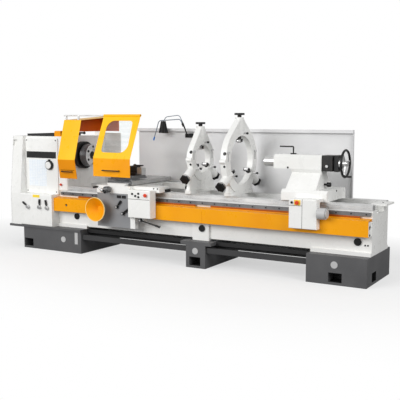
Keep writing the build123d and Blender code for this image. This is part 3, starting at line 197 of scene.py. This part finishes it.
def outside_radius(point, plane, radius):
    """One further than a radius from an axis through the point; plane has 1 on the two axes across it."""
    def mask(tree):
        place = add(tree, "TexCoord")["Object"]
        away = add(tree, "VectorMath", {0: place, 1: point}, operation="SUBTRACT")[0]
        flat = add(tree, "VectorMath", {0: away, 1: plane}, operation="MULTIPLY")[0]
        length = add(tree, "VectorMath", {0: flat}, operation="LENGTH")["Value"]
        return add(tree, "Math", {0: length, 1: radius}, operation="GREATER_THAN")[0]
    return mask


def either(*masks):
    """One where any of the masks is."""
    def mask(tree):
        total = masks[0](tree)
        for other in masks[1:]:
            total = add(tree, "Math", {0: total, 1: other(tree)}, operation="MAXIMUM")[0]
        return total
    return mask


def both(*masks):
    """One where all of the masks are."""
    def mask(tree):
        total = masks[0](tree)
        for other in masks[1:]:
            total = add(tree, "Math", {0: total, 1: other(tree)}, operation="MINIMUM")[0]
        return total
    return mask


def past(angle, reach):
    """Further than a reach from a steady rest's axis, along one of its quills."""
    rad = math.radians(angle)
    outward = (0.0, math.cos(rad), math.sin(rad))
    return beyond(outward, axis_z * outward[2] + reach)


def within(angle, reach):
    """Nearer than a reach to a steady rest's axis, along one of its quills."""
    rad = math.radians(angle)
    inward = (0.0, -math.cos(rad), -math.sin(rad))
    return beyond(inward, axis_z * inward[2] - reach)


def behind(low, high):
    """Past the middle of the guard's sheet, inwards from an outer face through two (y, z) points."""
    run = (Vector(high) - Vector(low)).normalized()
    inward = (0.0, run.y, -run.x)
    return beyond(inward, inward[1] * low[0] + inward[2] * low[1] + half_sheet)


def finish(name, base, *overlays):
    """A material: a base finish, with others laid over it where their masks are one."""
    material = bpy.data.materials.new(name)
    material.use_nodes = True
    tree = material.node_tree
    tree.nodes.clear()
    shader = base(tree)
    for coat, mask in overlays:
        shader = add(tree, "MixShader", {0: mask(tree), 1: shader, 2: coat(tree)})[0]
    add(tree, "OutputMaterial", {"Surface": shader})
    return material


# Finishes. Sizes given to per() are real ones in millimetres, except where a comment says coarser.

uneven = 0.12  # how far the roughness of a handled surface wanders


def enamel(light, dark, gloss, shine=0.45):
    """Sprayed machine enamel on filled castings and sheet.

    Broad cloudy tone from the spray passes, a fine orange-peel ripple in the highlights, and a slightly
    uneven gloss where hands and rags have rubbed it."""
    def coat(tree):
        place = add(tree, "TexCoord")["Object"]
        cloud = add(tree, "TexNoise", {"Vector": place, "Scale": per(454.5), "Detail": 4.0})["Fac"]
        tone = add(tree, "MapRange", {"Value": cloud, **middle})["Result"]
        colour = add(tree, "Mix", {"Factor": tone, mix_a: linear(light), mix_b: linear(dark)},
                     data_type="RGBA")[mix_out]
        rubbed = add(tree, "TexNoise", {"Vector": place, "Scale": per(111.1), "Detail": 5.0})["Fac"]
        rough = add(tree, "MapRange", {"Value": rubbed, **middle,
                                       "To Min": gloss, "To Max": gloss + uneven})["Result"]
        peel = add(tree, "TexNoise", {"Vector": place, "Scale": per(2.381), "Detail": 2.0})["Fac"]
        ripple = add(tree, "Bump", {"Height": peel, "Strength": 1.0, "Distance": 0.00012})["Normal"]
        return add(tree, "BsdfPrincipled", {"Base Color": colour, "Roughness": rough, "Normal": ripple,
                                            "Specular IOR Level": shine})["BSDF"]
    return coat


def textured_paint(light, dark):
    """Two-part structure paint on welded plate.

    A 2 mm pebbled skin that breaks up the highlight, with dust caught in its low spots."""
    grain_share = 0.5

    def coat(tree):
        place = add(tree, "TexCoord")["Object"]
        grain = add(tree, "TexNoise", {"Vector": place, "Scale": per(2.0833), "Detail": 3.0})["Fac"]
        cloud = add(tree, "TexNoise", {"Vector": place, "Scale": per(333.3), "Detail": 4.0})["Fac"]
        fine = add(tree, "Math", {0: grain, 1: grain_share}, operation="MULTIPLY")[0]
        broad = add(tree, "Math", {0: cloud, 1: 1.0 - grain_share}, operation="MULTIPLY")[0]
        dust = add(tree, "Math", {0: fine, 1: broad}, operation="ADD")[0]
        tone = add(tree, "MapRange", {"Value": dust, **middle})["Result"]
        colour = add(tree, "Mix", {"Factor": tone, mix_a: linear(dark), mix_b: linear(light)},
                     data_type="RGBA")[mix_out]
        rough = add(tree, "MapRange", {"Value": grain, **middle, "To Min": 0.42, "To Max": 0.6})["Result"]
        pebbles = add(tree, "Bump", {"Height": grain, "Strength": 1.0, "Distance": 0.0003})["Normal"]
        return add(tree, "BsdfPrincipled", {"Base Color": colour, "Roughness": rough,
                                            "Normal": pebbles})["BSDF"]
    return coat


# Scales of the streaks on ground steel along X and along Y, and round a turned piece. Real streaks
# are finer than a tenth of a millimetre; these are drawn coarser so that they show.
streaks_x = (per(250), per(1.4286), per(1.4286))
streaks_y = (per(1.4286), per(250), per(1.4286))
streaks_round = (per(1.1111), per(125), per(125))


def ground_steel(light, dark, streaks, metal=0.85):
    """Surface-ground or turned steel.

    Fine streaks along the grinding direction that stretch the reflections, and oily darker patches."""
    streak_share = 0.6

    def coat(tree):
        place = add(tree, "TexCoord")["Object"]
        drawn_out = add(tree, "Mapping", {"Vector": place, "Scale": streaks})["Vector"]
        streak = add(tree, "TexNoise", {"Vector": drawn_out, "Scale": 1.0, "Detail": 3.0})["Fac"]
        oil = add(tree, "TexNoise", {"Vector": place, "Scale": per(166.7), "Detail": 4.0})["Fac"]
        fine = add(tree, "Math", {0: streak, 1: streak_share}, operation="MULTIPLY")[0]
        broad = add(tree, "Math", {0: oil, 1: 1.0 - streak_share}, operation="MULTIPLY")[0]
        wear = add(tree, "Math", {0: fine, 1: broad}, operation="ADD")[0]
        tone = add(tree, "MapRange", {"Value": wear, **middle})["Result"]
        colour = add(tree, "Mix", {"Factor": tone, mix_a: linear(dark), mix_b: linear(light)},
                     data_type="RGBA")[mix_out]
        rough = add(tree, "MapRange", {"Value": wear, **middle, "To Min": 0.24, "To Max": 0.42})["Result"]
        grooves = add(tree, "Bump", {"Height": streak, "Strength": 1.0, "Distance": 0.00008})["Normal"]
        return add(tree, "BsdfPrincipled", {"Base Color": colour, "Roughness": rough, "Normal": grooves,
                                            "Metallic": metal})["BSDF"]
    return coat


def black_oxide(tree):
    """Chemically blackened tool steel.

    Blue-black with brown cloudy patches and a faint machined streak, drawn coarser than the real one
    so that it shows, worn to a soft sheen."""
    place = add(tree, "TexCoord")["Object"]
    cloud = add(tree, "TexNoise", {"Vector": place, "Scale": per(41.67), "Detail": 4.0})["Fac"]
    tone = add(tree, "MapRange", {"Value": cloud, **middle})["Result"]
    colour = add(tree, "Mix", {"Factor": tone, mix_a: linear("#141517"), mix_b: linear("#25211E")},
                 data_type="RGBA")[mix_out]
    streaks = (per(16.67), per(16.67), per(1.1111))
    drawn_out = add(tree, "Mapping", {"Vector": place, "Scale": streaks})["Vector"]
    streak = add(tree, "TexNoise", {"Vector": drawn_out, "Scale": 1.0, "Detail": 2.0})["Fac"]
    rough = add(tree, "MapRange", {"Value": streak, **middle, "To Min": 0.34, "To Max": 0.5})["Result"]
    grooves = add(tree, "Bump", {"Height": streak, "Strength": 1.0, "Distance": 0.00006})["Normal"]
    return add(tree, "BsdfPrincipled", {"Base Color": colour, "Roughness": rough, "Normal": grooves,
                                        "Metallic": 0.3})["BSDF"]


def moulded(light, dark, gloss, shine=0.5):
    """Moulded plastic knobs, grips and buttons.

    A spark-eroded grain in the gloss, drawn coarser than the real one so that it shows, and a
    slightly paler tone where it is handled."""
    def coat(tree):
        place = add(tree, "TexCoord")["Object"]
        cloud = add(tree, "TexNoise", {"Vector": place, "Scale": per(33.33), "Detail": 3.0})["Fac"]
        tone = add(tree, "MapRange", {"Value": cloud, **middle})["Result"]
        colour = add(tree, "Mix", {"Factor": tone, mix_a: linear(light), mix_b: linear(dark)},
                     data_type="RGBA")[mix_out]
        grain = add(tree, "TexNoise", {"Vector": place, "Scale": per(0.7143), "Detail": 2.0})["Fac"]
        rough = add(tree, "MapRange", {"Value": grain, **middle,
                                       "To Min": gloss, "To Max": gloss + uneven})["Result"]
        pits = add(tree, "Bump", {"Height": grain, "Strength": 1.0, "Distance": 0.00005})["Normal"]
        return add(tree, "BsdfPrincipled", {"Base Color": colour, "Roughness": rough, "Normal": pits,
                                            "Specular IOR Level": shine})["BSDF"]
    return coat


def ribbed_rubber(tree):
    """Ribbed rubber mat.

    Ribs every 16 mm along the tray, grey dust between them and a dull black bloom."""
    band_length = math.tau / 20  # of a Wave Texture at scale 1
    place = add(tree, "TexCoord")["Object"]
    rib = add(tree, "TexWave", {"Vector": place, "Scale": per(15.708) * band_length}, wave_type="BANDS",
              bands_direction="X")["Fac"]
    dust = add(tree, "TexNoise", {"Vector": place, "Scale": per(16.67), "Detail": 4.0})["Fac"]
    tone = add(tree, "MapRange", {"Value": dust, **middle})["Result"]
    colour = add(tree, "Mix", {"Factor": tone, mix_a: linear("#0F0F10"), mix_b: linear("#2A2A2A")},
                 data_type="RGBA")[mix_out]
    rough = add(tree, "MapRange", {"Value": dust, **middle, "To Min": 0.6, "To Max": 0.85})["Result"]
    ridges = add(tree, "Bump", {"Height": rib, "Strength": 1.0, "Distance": 0.0015})["Normal"]
    return add(tree, "BsdfPrincipled", {"Base Color": colour, "Roughness": rough,
                                        "Normal": ridges})["BSDF"]


def polycarbonate(tree):
    """Clear polycarbonate sheet.

    Nearly colourless, with faint wiping haze in long strokes. Its IOR is less than the real 1.58, so
    that the thin pane keeps what is seen through it in place."""
    place = add(tree, "TexCoord")["Object"]
    strokes = add(tree, "Mapping", {"Vector": place, "Scale": (per(333.3), per(33.33), per(33.33))})["Vector"]
    haze = add(tree, "TexNoise", {"Vector": strokes, "Scale": 1.0, "Detail": 4.0})["Fac"]
    tone = add(tree, "MapRange", {"Value": haze, **middle})["Result"]
    colour = add(tree, "Mix", {"Factor": tone, mix_a: linear("#FBFDFD"), mix_b: linear("#F1F5F5")},
                 data_type="RGBA")[mix_out]
    rough = add(tree, "MapRange", {"Value": haze, **middle, "To Min": 0.02, "To Max": 0.09})["Result"]
    return add(tree, "BsdfPrincipled", {"Base Color": colour, "Roughness": rough, "IOR": 1.2,
                                        "Transmission Weight": 0.96, "Specular IOR Level": 0.3})["BSDF"]


def chart_print(tree):
    """Printed setting chart on a coated plate.

    Pale blue fields of 43 by 21 mm, ruled with thin grey lines; it carries no words or figures."""
    place = add(tree, "TexCoord")["Object"]
    upright = add(tree, "Mapping", {"Vector": place, "Rotation": (math.pi / 2, 0.0, 0.0)})["Vector"]
    fields = add(tree, "TexBrick", {"Vector": upright, "Scale": 1.0, "Mortar Size": 0.0011,
                                    "Brick Width": 0.043, "Row Height": 0.021,
                                    "Color1": linear("#EDF3F9"), "Color2": linear("#F3F7FA"),
                                    "Mortar": linear("#D3DEE9")}, offset=0.0)["Color"]
    rubbed = add(tree, "TexNoise", {"Vector": place, "Scale": per(16.67), "Detail": 3.0})["Fac"]
    rough = add(tree, "MapRange", {"Value": rubbed, **middle, "To Min": 0.3, "To Max": 0.42})["Result"]
    return add(tree, "BsdfPrincipled", {"Base Color": fields, "Roughness": rough})["BSDF"]


white = enamel("#F4F4F2", "#EDEDEA", gloss=0.24)
yellow = enamel("#FBA904", "#F49E02", gloss=0.26, shine=0.3)
# Painted highlight: a lighter copy of the yellow for upper faces that catch the light
painted_highlight_yellow = enamel("#FFC414", "#FDBC0C", gloss=0.26, shine=0.3)
# Painted shade: a darker copy of the yellow for the guard, whose lower faces lean away from the light
painted_shade_yellow = enamel("#EE9603", "#E68E02", gloss=0.26, shine=0.3)
# Painted shade: a dark orange for the inside of the guard, which the light does not reach
guard_painted_shade = enamel("#D95E0A", "#CE5608", gloss=0.34, shine=0.3)
rim_cream = enamel("#F8DE9C", "#F2D48C", gloss=0.3, shine=0.3)
# Painted shade: a dark orange for the cover's yellow strips, which sit in shade behind its top
strip_painted_shade = enamel("#A85608", "#9E5006", gloss=0.3, shine=0.3)
apron_grey = enamel("#929395", "#848588", gloss=0.3)
sheet_grey = enamel("#E4E4E4", "#DCDCDD", gloss=0.38)
pipe_grey = enamel("#7E8894", "#6A7480", gloss=0.3)
dark_grey = textured_paint("#5E5E5F", "#4C4C4E")
bar_grey = textured_paint("#39393A", "#2C2C2D")
pale_grey = textured_paint("#C4C4C4", "#B6B6B6")
# Black for bolt heads and grooves, and painted shade for the pockets and the trays under the bed
black_and_painted_shade = textured_paint("#121213", "#0A0A0B")
steel_x = ground_steel("#F1F1F0", "#D2D2D1", streaks_x)
rack_steel = ground_steel("#929293", "#767779", streaks_y)
steel_y = ground_steel("#D9D9D8", "#A9A9A9", streaks_y)
dark_steel = ground_steel("#8A8A8B", "#5D5E60", streaks_y)
turned = ground_steel("#DCDCDC", "#B0B0B0", streaks_round)
faced_steel = ground_steel("#EFEFEF", "#D4D4D4", streaks_round, metal=0.45)
black_plastic = moulded("#141415", "#0B0B0C", gloss=0.32, shine=0.35)
lamp_black = moulded("#0D0D0E", "#070708", gloss=0.45, shine=0.25)
pale_plastic = moulded("#F0F0EE", "#E4E4E2", gloss=0.3)
red_plastic = moulded("#E8481C", "#D63A12", gloss=0.22)
blue_plastic = moulded("#2E86D8", "#1F6FC0", gloss=0.25)


def paint(node, material):
    target = nodes[node].data.materials
    target.clear()
    target.append(material)


# Base and bed
enamel_white = finish("white_enamel_sprayed", white)
for node in ("bed", "headstock", "end_cover", "control_panel", "feed_gearbox", "tailstock_base"):
    paint(node, enamel_white)
# The fork pockets are painted black: painted shade
pockets = either(*[inside(*corners) for corners in fork_pockets], inside(*end_pocket))
paint("pedestals", finish("dark_structure_paint_pedestals", dark_grey, (black_and_painted_shade, pockets),
                          (pale_grey, beyond(front, -badge_back))))
# The trays under the bed are painted black: painted shade
paint("base_and_trays", finish("dark_structure_paint_base", dark_grey,
                               (black_and_painted_shade, beyond(right, tray_start))))
paint("foot_brake", finish("dark_structure_paint_bar", bar_grey))
paint("bed_ways", finish("ground_ways", steel_x))
paint("bed_plugs", finish("moulded_plugs", black_plastic))
paint("rack", finish("milled_rack_black_bolts", rack_steel, (black_and_painted_shade, beyond(front, -rack_bolt_back))))
paint("leadscrew", finish("turned_screw", turned))
# The cover's strips carry painted shade, a darker orange
paint("leadscrew_cover", finish("yellow_cover_painted_shade_strips", yellow, (strip_painted_shade, inside(*cover_strips))))
paint("splash_guard", finish("light_grey_sheet_enamel", sheet_grey))

# Headstock and guard
recess_wall = outside_radius(spindle_axis, across_x, nose_recess + skin)
recess_ring = both(outside_radius(spindle_axis, across_x, spindle_bore + skin), inside(*recess_floor))
paint("spindle", finish("turned_spindle_faced_nose", turned, (faced_steel, beyond(right, nose_face - skin)),
                        (dark_steel, both(recess_wall, beyond(left, -nose_face + skin))),
                        (faced_steel, recess_ring)))
paint("bearing_cover", finish("blackened_cover", black_oxide))
paint("headstock_mat", finish("ribbed_rubber_mat", ribbed_rubber))
paint("speed_dial", finish("black_dial_pale_face", black_plastic, (pale_plastic, beyond(front, -dial_face))))
# Inner faces of the guard's sheet, painted in a shade colour
guard_inside = both(beyond(right, guard_left + half_sheet),
                    *[behind(low, high) for low, high in zip(guard_line, guard_line[1:])])
# Guard: painted shade over its faces (a darker yellow), with a painted highlight above the fold (a lighter
# yellow)
paint("chuck_guard", finish("yellow_guard_black_handle", painted_shade_yellow,
                            (painted_highlight_yellow, beyond(up, guard_fold)),
                            (guard_painted_shade, guard_inside),
                            (black_plastic, inside(*guard_handle)),
                            (steel_x, either(inside(*guard_rail), beyond(left, -guard_left + skin)))))
# Door: a painted highlight above its fold, a lighter yellow
paint("guard_door", finish("yellow_door_black_handle", yellow, (painted_highlight_yellow, beyond(up, door_fold)),
                           (black_plastic, inside(*door_handle))))
paint("door_window", finish("clear_polycarbonate", polycarbonate))
paint("guard_rest", finish("yellow_bracket_black_bar", yellow,
                           (black_oxide, beyond(right, guard_rest_face + skin))))

# Carriage, levers and stop buttons
paint("saddle", finish("white_saddle_black_wipers", white,
                       (black_plastic, beyond(right, saddle_right + skin))))
paint("apron", finish("grey_casting_enamel", apron_grey, (black_oxide, inside(*apron_badges))))
paint("apron_handwheel", finish("yellow_wheel_pale_rim", yellow,
                                (rim_cream, outside_radius(wheel_axis, across_y, wheel_edge))))
paint("control_box", finish("white_box_black_buttons", white, (black_and_painted_shade, inside(*control_box_groove)),
                            (black_plastic, beyond(front, -carriage_face + skin))))
paint("cross_slide", finish("ground_cross_slide", steel_y, (dark_steel, beyond(front, -cross_slide_front))))
paint("compound", finish("ground_compound", dark_steel))
paint("top_slide", finish("ground_top_slide", dark_steel))
paint("tool_post", finish("blackened_post_bright_holder", black_oxide, (steel_y, inside(*tool_holder))))
crank_grips = either(inside(*crank_ball), beyond(left, -crank_grip_start))
paint("crossfeed_crank", finish("turned_crank_black_grip", turned, (dark_steel, inside(*crank_dial)),
                                (black_plastic, crank_grips)))
for node, (axis, hub) in lever_hubs.items():
    grip = outside_radius(axis, across_y, hub)
    paint(node, finish("turned_hub_black_" + node, turned, (black_plastic, grip)))
for node in ("head_stop_button", "carriage_estop", "tail_estop"):
    paint(node, finish("moulded_stop_" + node, red_plastic))

# Tailstock, lamp and coolant
box_grooves = either(inside(*tail_box_groove_level), inside(*tail_box_groove_upright))
paint("tail_box", finish("white_box_grey_motor", white, (pale_grey, beyond(right, motor_start + skin)),
                         (black_and_painted_shade, box_grooves), (black_plastic, inside(*tail_box_button))))
paint("tailstock_body", finish("white_casting_black_knob", white, (black_plastic, inside(*offset_knob))))
paint("tailstock_housing", finish("blackened_housing_bright_knob", black_oxide,
                                  (turned, beyond(front, -housing_knob_back))))
paint("tailstock_quill", finish("ground_quill", steel_x))
tail_rim = outside_radius(tail_wheel_axis, across_x, tail_wheel_edge)
paint("tail_handwheel", finish("turned_hub_black_rim", turned, (black_plastic, tail_rim)))
paint("quill_clamp", finish("blackened_clamp", black_oxide))
paint("lamp", finish("black_lamp_grey_arm", lamp_black, (pipe_grey, inside(*lamp_arm))))
paint("coolant_pipe", finish("grey_pipe_blue_nozzle", pipe_grey, (blue_plastic, beyond(down, -nozzle_top))))

# Steady rests
for name, rest in steady_rests.items():
    x = rest["x"]
    limb = (rest["inner"] + rest["outer"]) / 2
    arm = beyond(right, x + arm_start)
    ball = beyond(right, x + ball_start)
    studs = either(*[inside((x + steady_half + skin, y - stud_half, axis_z),
                            (x + arm_start, y + stud_half, axis_z + stud_top)) for y in (-limb, limb)])
    paint(name + "_base", finish(f"white_{name}_base", white, (turned, arm), (black_plastic, ball)))
    paint(name + "_top", finish(f"white_{name}_top", white, (turned, either(arm, studs)),
                                (black_plastic, ball)))
    fork_gap = both(beyond(right, x - roller_half), beyond(left, -x - roller_half))
    for index, angle in enumerate(quill_angles):
        quill = f"{name}_quill_{index + 1}"
        roller = both(fork_gap, within(angle, rest["tip"] + roller_size))
        knob = past(angle, rest["boss"] + knob_start)
        paint(quill, finish("turned_" + quill, black_oxide, (turned, roller), (black_plastic, knob)))


# Added pieces: printed plates and screws

def fresh():
    """Object mode with nothing selected."""
    if bpy.context.object and bpy.context.object.mode != "OBJECT":
        bpy.ops.object.mode_set(mode="OBJECT")
    bpy.ops.object.select_all(action="DESELECT")


def settle(piece, name, body, material, slot):
    """Names a finished piece, puts its origin at the frame's origin, and lets it ride on its body."""
    fresh()
    piece.select_set(True)
    bpy.context.view_layer.objects.active = piece
    bpy.ops.object.transform_apply(location=True, rotation=True, scale=True)
    piece.name = name
    piece.data.materials.clear()
    piece.data.materials.append(material)
    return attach(piece, body)


def plate(name, x_span, face, z_span, thick, body, material, slot):
    """A thin front plate with a raised, softened border: a block inset on its front face."""
    border = 0.003
    sunk = thick / 3
    softness = thick / 6
    fresh()
    centre = (sum(x_span) / 2, face - thick / 2, sum(z_span) / 2)
    bpy.ops.mesh.primitive_cube_add(size=1, location=centre)
    piece = bpy.context.object
    piece.scale = (x_span[1] - x_span[0], thick, z_span[1] - z_span[0])
    bpy.ops.object.transform_apply(location=True, rotation=True, scale=True)
    for polygon in piece.data.polygons:
        polygon.select = polygon.normal.y < -0.9
    bpy.ops.object.mode_set(mode="EDIT")
    bpy.ops.mesh.select_mode(type="FACE")
    bpy.ops.mesh.inset(thickness=border, depth=-sunk)
    bpy.ops.mesh.select_all(action="SELECT")
    bpy.ops.mesh.bevel(offset=softness, segments=2, affect="EDGES")
    bpy.ops.mesh.normals_make_consistent(inside=False)
    bpy.ops.object.mode_set(mode="OBJECT")
    return settle(piece, name, body, material, slot)


def cap_screws(name, spots, turn, radius, height, body, material, slot):
    """Socket-head screws: a turned head with a softened rim and a hexagon socket sunk into it."""
    rim_width = radius * 0.12
    rim_rise = radius * 0.08
    ring_width = radius * 0.35
    socket_taper = radius * 0.02
    socket_depth = height * 0.45
    made = []
    for spot in spots:
        fresh()
        bpy.ops.mesh.primitive_cylinder_add(vertices=24, radius=radius, depth=height,
                                            location=(0, 0, height / 2))
        head = bpy.context.object
        for polygon in head.data.polygons:
            polygon.select = polygon.normal.z > 0.9
        bpy.ops.object.mode_set(mode="EDIT")
        bpy.ops.mesh.select_mode(type="FACE")
        bpy.ops.mesh.inset(thickness=rim_width, depth=rim_rise)
        bpy.ops.mesh.inset(thickness=ring_width, depth=0)
        bpy.ops.mesh.inset(thickness=socket_taper, depth=-socket_depth)
        bpy.ops.mesh.select_all(action="SELECT")
        bpy.ops.mesh.normals_make_consistent(inside=False)
        bpy.ops.object.mode_set(mode="OBJECT")
        head.rotation_euler = turn
        head.location = spot
        made.append(head)
    fresh()
    for head in made:
        head.select_set(True)
    bpy.context.view_layer.objects.active = made[0]
    bpy.ops.object.join()
    bpy.ops.object.shade_smooth_by_angle(angle=math.radians(35))
    return settle(bpy.context.object, name, body, material, slot)


to_front = (math.pi / 2, 0.0, 0.0)
to_right = (0.0, math.pi / 2, 0.0)
to_top = (0.0, 0.0, 0.0)
band_print = finish("black_band_print", moulded("#141415", "#0B0B0C", gloss=0.35))
label_yellow = finish("yellow_label_print", moulded("#FFE14A", "#F5D22E", gloss=0.4))
screw_black = finish("blackened_screws", black_oxide)

plate("name_band", x_span=(-2.728, -2.205), face=panel_face, z_span=(1.208, 1.296), thick=0.002,
      body="machine", material=band_print, slot="black_plastic")
plate("setting_chart", x_span=(-2.686, -2.375), face=panel_face, z_span=(0.835, 1.19), thick=0.002,
      body="machine", material=finish("printed_chart", chart_print), slot="white_paint")
plate("gearbox_label", x_span=(-2.53, -2.41), face=gearbox_face, z_span=(0.69, 0.725), thick=0.001,
      body="machine", material=label_yellow, slot="yellow_paint")
plate("tail_stop_label", x_span=(1.252, 1.324), face=tail_face, z_span=(0.825, 0.882), thick=0.001,
      body="tailstock", material=label_yellow, slot="yellow_paint")
plate("pedestal_strip", x_span=(-1.817, -1.768), face=pedestal_face, z_span=(0.118, 0.27), thick=0.003,
      body="machine", material=finish("pale_strip_paint", pale_grey), slot="light_grey_paint")

screw_shift = 0.015
screw_rows = {
    "panel_screws": dict(spots=[(x, panel_face, z) for x in (-2.72, -2.21) for z in (0.765, 1.445)],
                         turn=to_front, radius=0.008, height=0.006, body="machine"),
    "bearing_block_screws": dict(spots=[(cover_end, -0.345, z) for z in (0.545, 0.63)],
                                 turn=to_right, radius=0.012, height=0.008, body="machine"),
    "bed_corner_screws": dict(spots=[(x, bed_face, 0.424) for x in (1.969, 1.999)],
                              turn=to_front, radius=0.009, height=0.007, body="machine"),
    "saddle_screws": dict(spots=[(x, saddle_face, 0.898) for x in (-0.6, -0.545)],
                          turn=to_front, radius=0.009, height=0.006, body="carriage"),
    "end_shelf_screw": dict(spots=[(2.06, 0.017, shelf_top)],
                            turn=to_top, radius=0.009, height=0.006, body="machine")}
for name, rest in steady_rests.items():
    for part, rise, radius, body in (("top", 0.09, 0.02, name + "_top"), ("base", -0.055, 0.014, "machine")):
        lift = math.asin(rise / rest["outer"])
        spot = (rest["x"] + screw_shift, -rest["outer"] * math.cos(lift), axis_z + rise)
        screw_rows[f"{name}_{part}_screw"] = dict(spots=[spot], turn=(math.pi / 2 - lift, 0.0, 0.0),
                                                  radius=radius, height=0.006, body=body)
nose_spots = [(nose_face, nose_circle * math.cos(turn), axis_z + nose_circle * math.sin(turn))
              for turn in nose_bolts]
screw_rows["spindle_screws"] = dict(spots=nose_spots, turn=to_right, radius=0.017, height=0.008,
                                    body="spindle")
screw_rows["tail_barrel_screw"] = dict(spots=[(1.009, barrel_face, 1.193)], turn=to_front, radius=0.011,
                                       height=0.006, body="tailstock_upper")
screw_rows["tail_base_screw"] = dict(spots=[(tail_base_end, -0.004, 0.95)], turn=to_right, radius=0.011,
                                     height=0.008, body="tailstock")
for name, row in screw_rows.items():
    cap_screws(name, material=screw_black, slot="black_steel", **row)


# Studio: pale floor that keeps the shadow, soft light, and the photograph's camera

def stage_floor():
    """Paper that is lit white away from the machine, so that floor and backdrop meet unseen."""
    shadow_reach = (4.2, 2.2)  # half lengths of the oval that keeps the shadow, in metres
    fade = {"From Min": 0.75, "From Max": 1.4, "To Min": 0.55, "To Max": 1.0}
    fresh()
    bpy.ops.mesh.primitive_plane_add(size=120, location=(0, 0, 0))
    floor = bpy.context.object
    floor.name = "studio_floor"
    material = bpy.data.materials.new("studio_floor_paper")
    material.use_nodes = True
    tree = material.node_tree
    tree.nodes.clear()
    place = add(tree, "TexCoord")["Object"]
    seen = add(tree, "LightPath")
    # White to the camera, darker to the bounced light, so that undersides stay in shade
    tone = add(tree, "Mix", {"Factor": seen["Is Camera Ray"], mix_a: linear("#8E8E8E"),
                             mix_b: linear("#F6F6F6")}, data_type="RGBA")[mix_out]
    grain = add(tree, "TexNoise", {"Vector": place, "Scale": per(333.3), "Detail": 3.0})["Fac"]
    rough = add(tree, "MapRange", {"Value": grain, **middle, "To Min": 0.85, "To Max": 0.95})["Result"]
    paper = add(tree, "BsdfPrincipled", {"Base Color": tone, "Roughness": rough})["BSDF"]
    shown = add(tree, "Math", {0: seen["Is Camera Ray"], 1: seen["Is Transmission Ray"]},
                operation="MAXIMUM")[0]
    oval = add(tree, "Mapping", {"Vector": place,
                                 "Scale": (1 / shadow_reach[0], 1 / shadow_reach[1], 0.0)})["Vector"]
    away = add(tree, "VectorMath", {0: oval}, operation="LENGTH")["Value"]
    share = add(tree, "MapRange", {"Value": away, **fade})["Result"]
    glowing = add(tree, "Math", {0: shown, 1: share}, operation="MULTIPLY")[0]
    glow = add(tree, "Emission", {"Color": linear("#FFFFFF"), "Strength": 1.0})[0]
    lit = add(tree, "MixShader", {0: glowing, 1: paper, 2: glow})[0]
    add(tree, "OutputMaterial", {"Surface": lit})
    floor.data.materials.append(material)


def studio_world(ambient, in_gloss):
    """White to the camera and through glass, partly so in reflections, and a soft level as light."""
    world = bpy.data.worlds.new("studio")
    bpy.context.scene.world = world
    world.use_nodes = True
    tree = world.node_tree
    tree.nodes.clear()
    seen = add(tree, "LightPath")
    shown = add(tree, "Math", {0: seen["Is Camera Ray"], 1: seen["Is Transmission Ray"]},
                operation="MAXIMUM")[0]
    mirrored = add(tree, "Math", {0: seen["Is Glossy Ray"], 1: in_gloss}, operation="MULTIPLY")[0]
    shown = add(tree, "Math", {0: shown, 1: mirrored}, operation="MAXIMUM")[0]
    raised = add(tree, "Math", {0: shown, 1: 1.0 - ambient}, operation="MULTIPLY")[0]
    level = add(tree, "Math", {0: raised, 1: ambient}, operation="ADD")[0]
    backdrop = add(tree, "Background", {"Color": linear("#FFFFFF"), "Strength": level})[0]
    add(tree, "OutputWorld", {"Surface": backdrop})


def soft_box(name, location, target, size, power):
    """A large rectangular light that faces its target."""
    light = bpy.data.lights.new(name, "AREA")
    light.shape = "RECTANGLE"
    light.size, light.size_y = size
    light.energy = power
    lamp = bpy.data.objects.new(name, light)
    bpy.context.scene.collection.objects.link(lamp)
    lamp.location = location
    lamp.rotation_euler = (Vector(target) - Vector(location)).to_track_quat("-Z", "Y").to_euler()


def photo_camera(eye, turn, dip, lens):
    """The photograph's view: its eye point, degrees left of straight back, degrees down, and lens."""
    data = bpy.data.cameras.new("photo_camera")
    data.sensor_width = 36.0
    data.lens = lens
    camera = bpy.data.objects.new("photo_camera", data)
    bpy.context.scene.collection.objects.link(camera)
    turn, dip = math.radians(turn), math.radians(dip)
    forward = Vector((-math.sin(turn) * math.cos(dip), math.cos(turn) * math.cos(dip), -math.sin(dip)))
    camera.location = eye
    camera.rotation_euler = forward.to_track_quat("-Z", "Y").to_euler()
    bpy.context.scene.camera = camera


stage_floor()
studio_world(ambient=0.36, in_gloss=0.5)
soft_box("key_light", location=(-3.0, -7.5, 4.0), target=(-0.3, 0.0, 0.9), size=(6.0, 4.0), power=490.0)
soft_box("right_fill", location=(7.0, -3.0, 4.0), target=(0.5, 0.0, 0.8), size=(4.0, 3.0), power=240.0)
photo_camera(eye=(4.212, -7.475, 1.75), turn=30.5, dip=6.6, lens=64.35)
bpy.context.scene.view_settings.view_transform = "Standard"
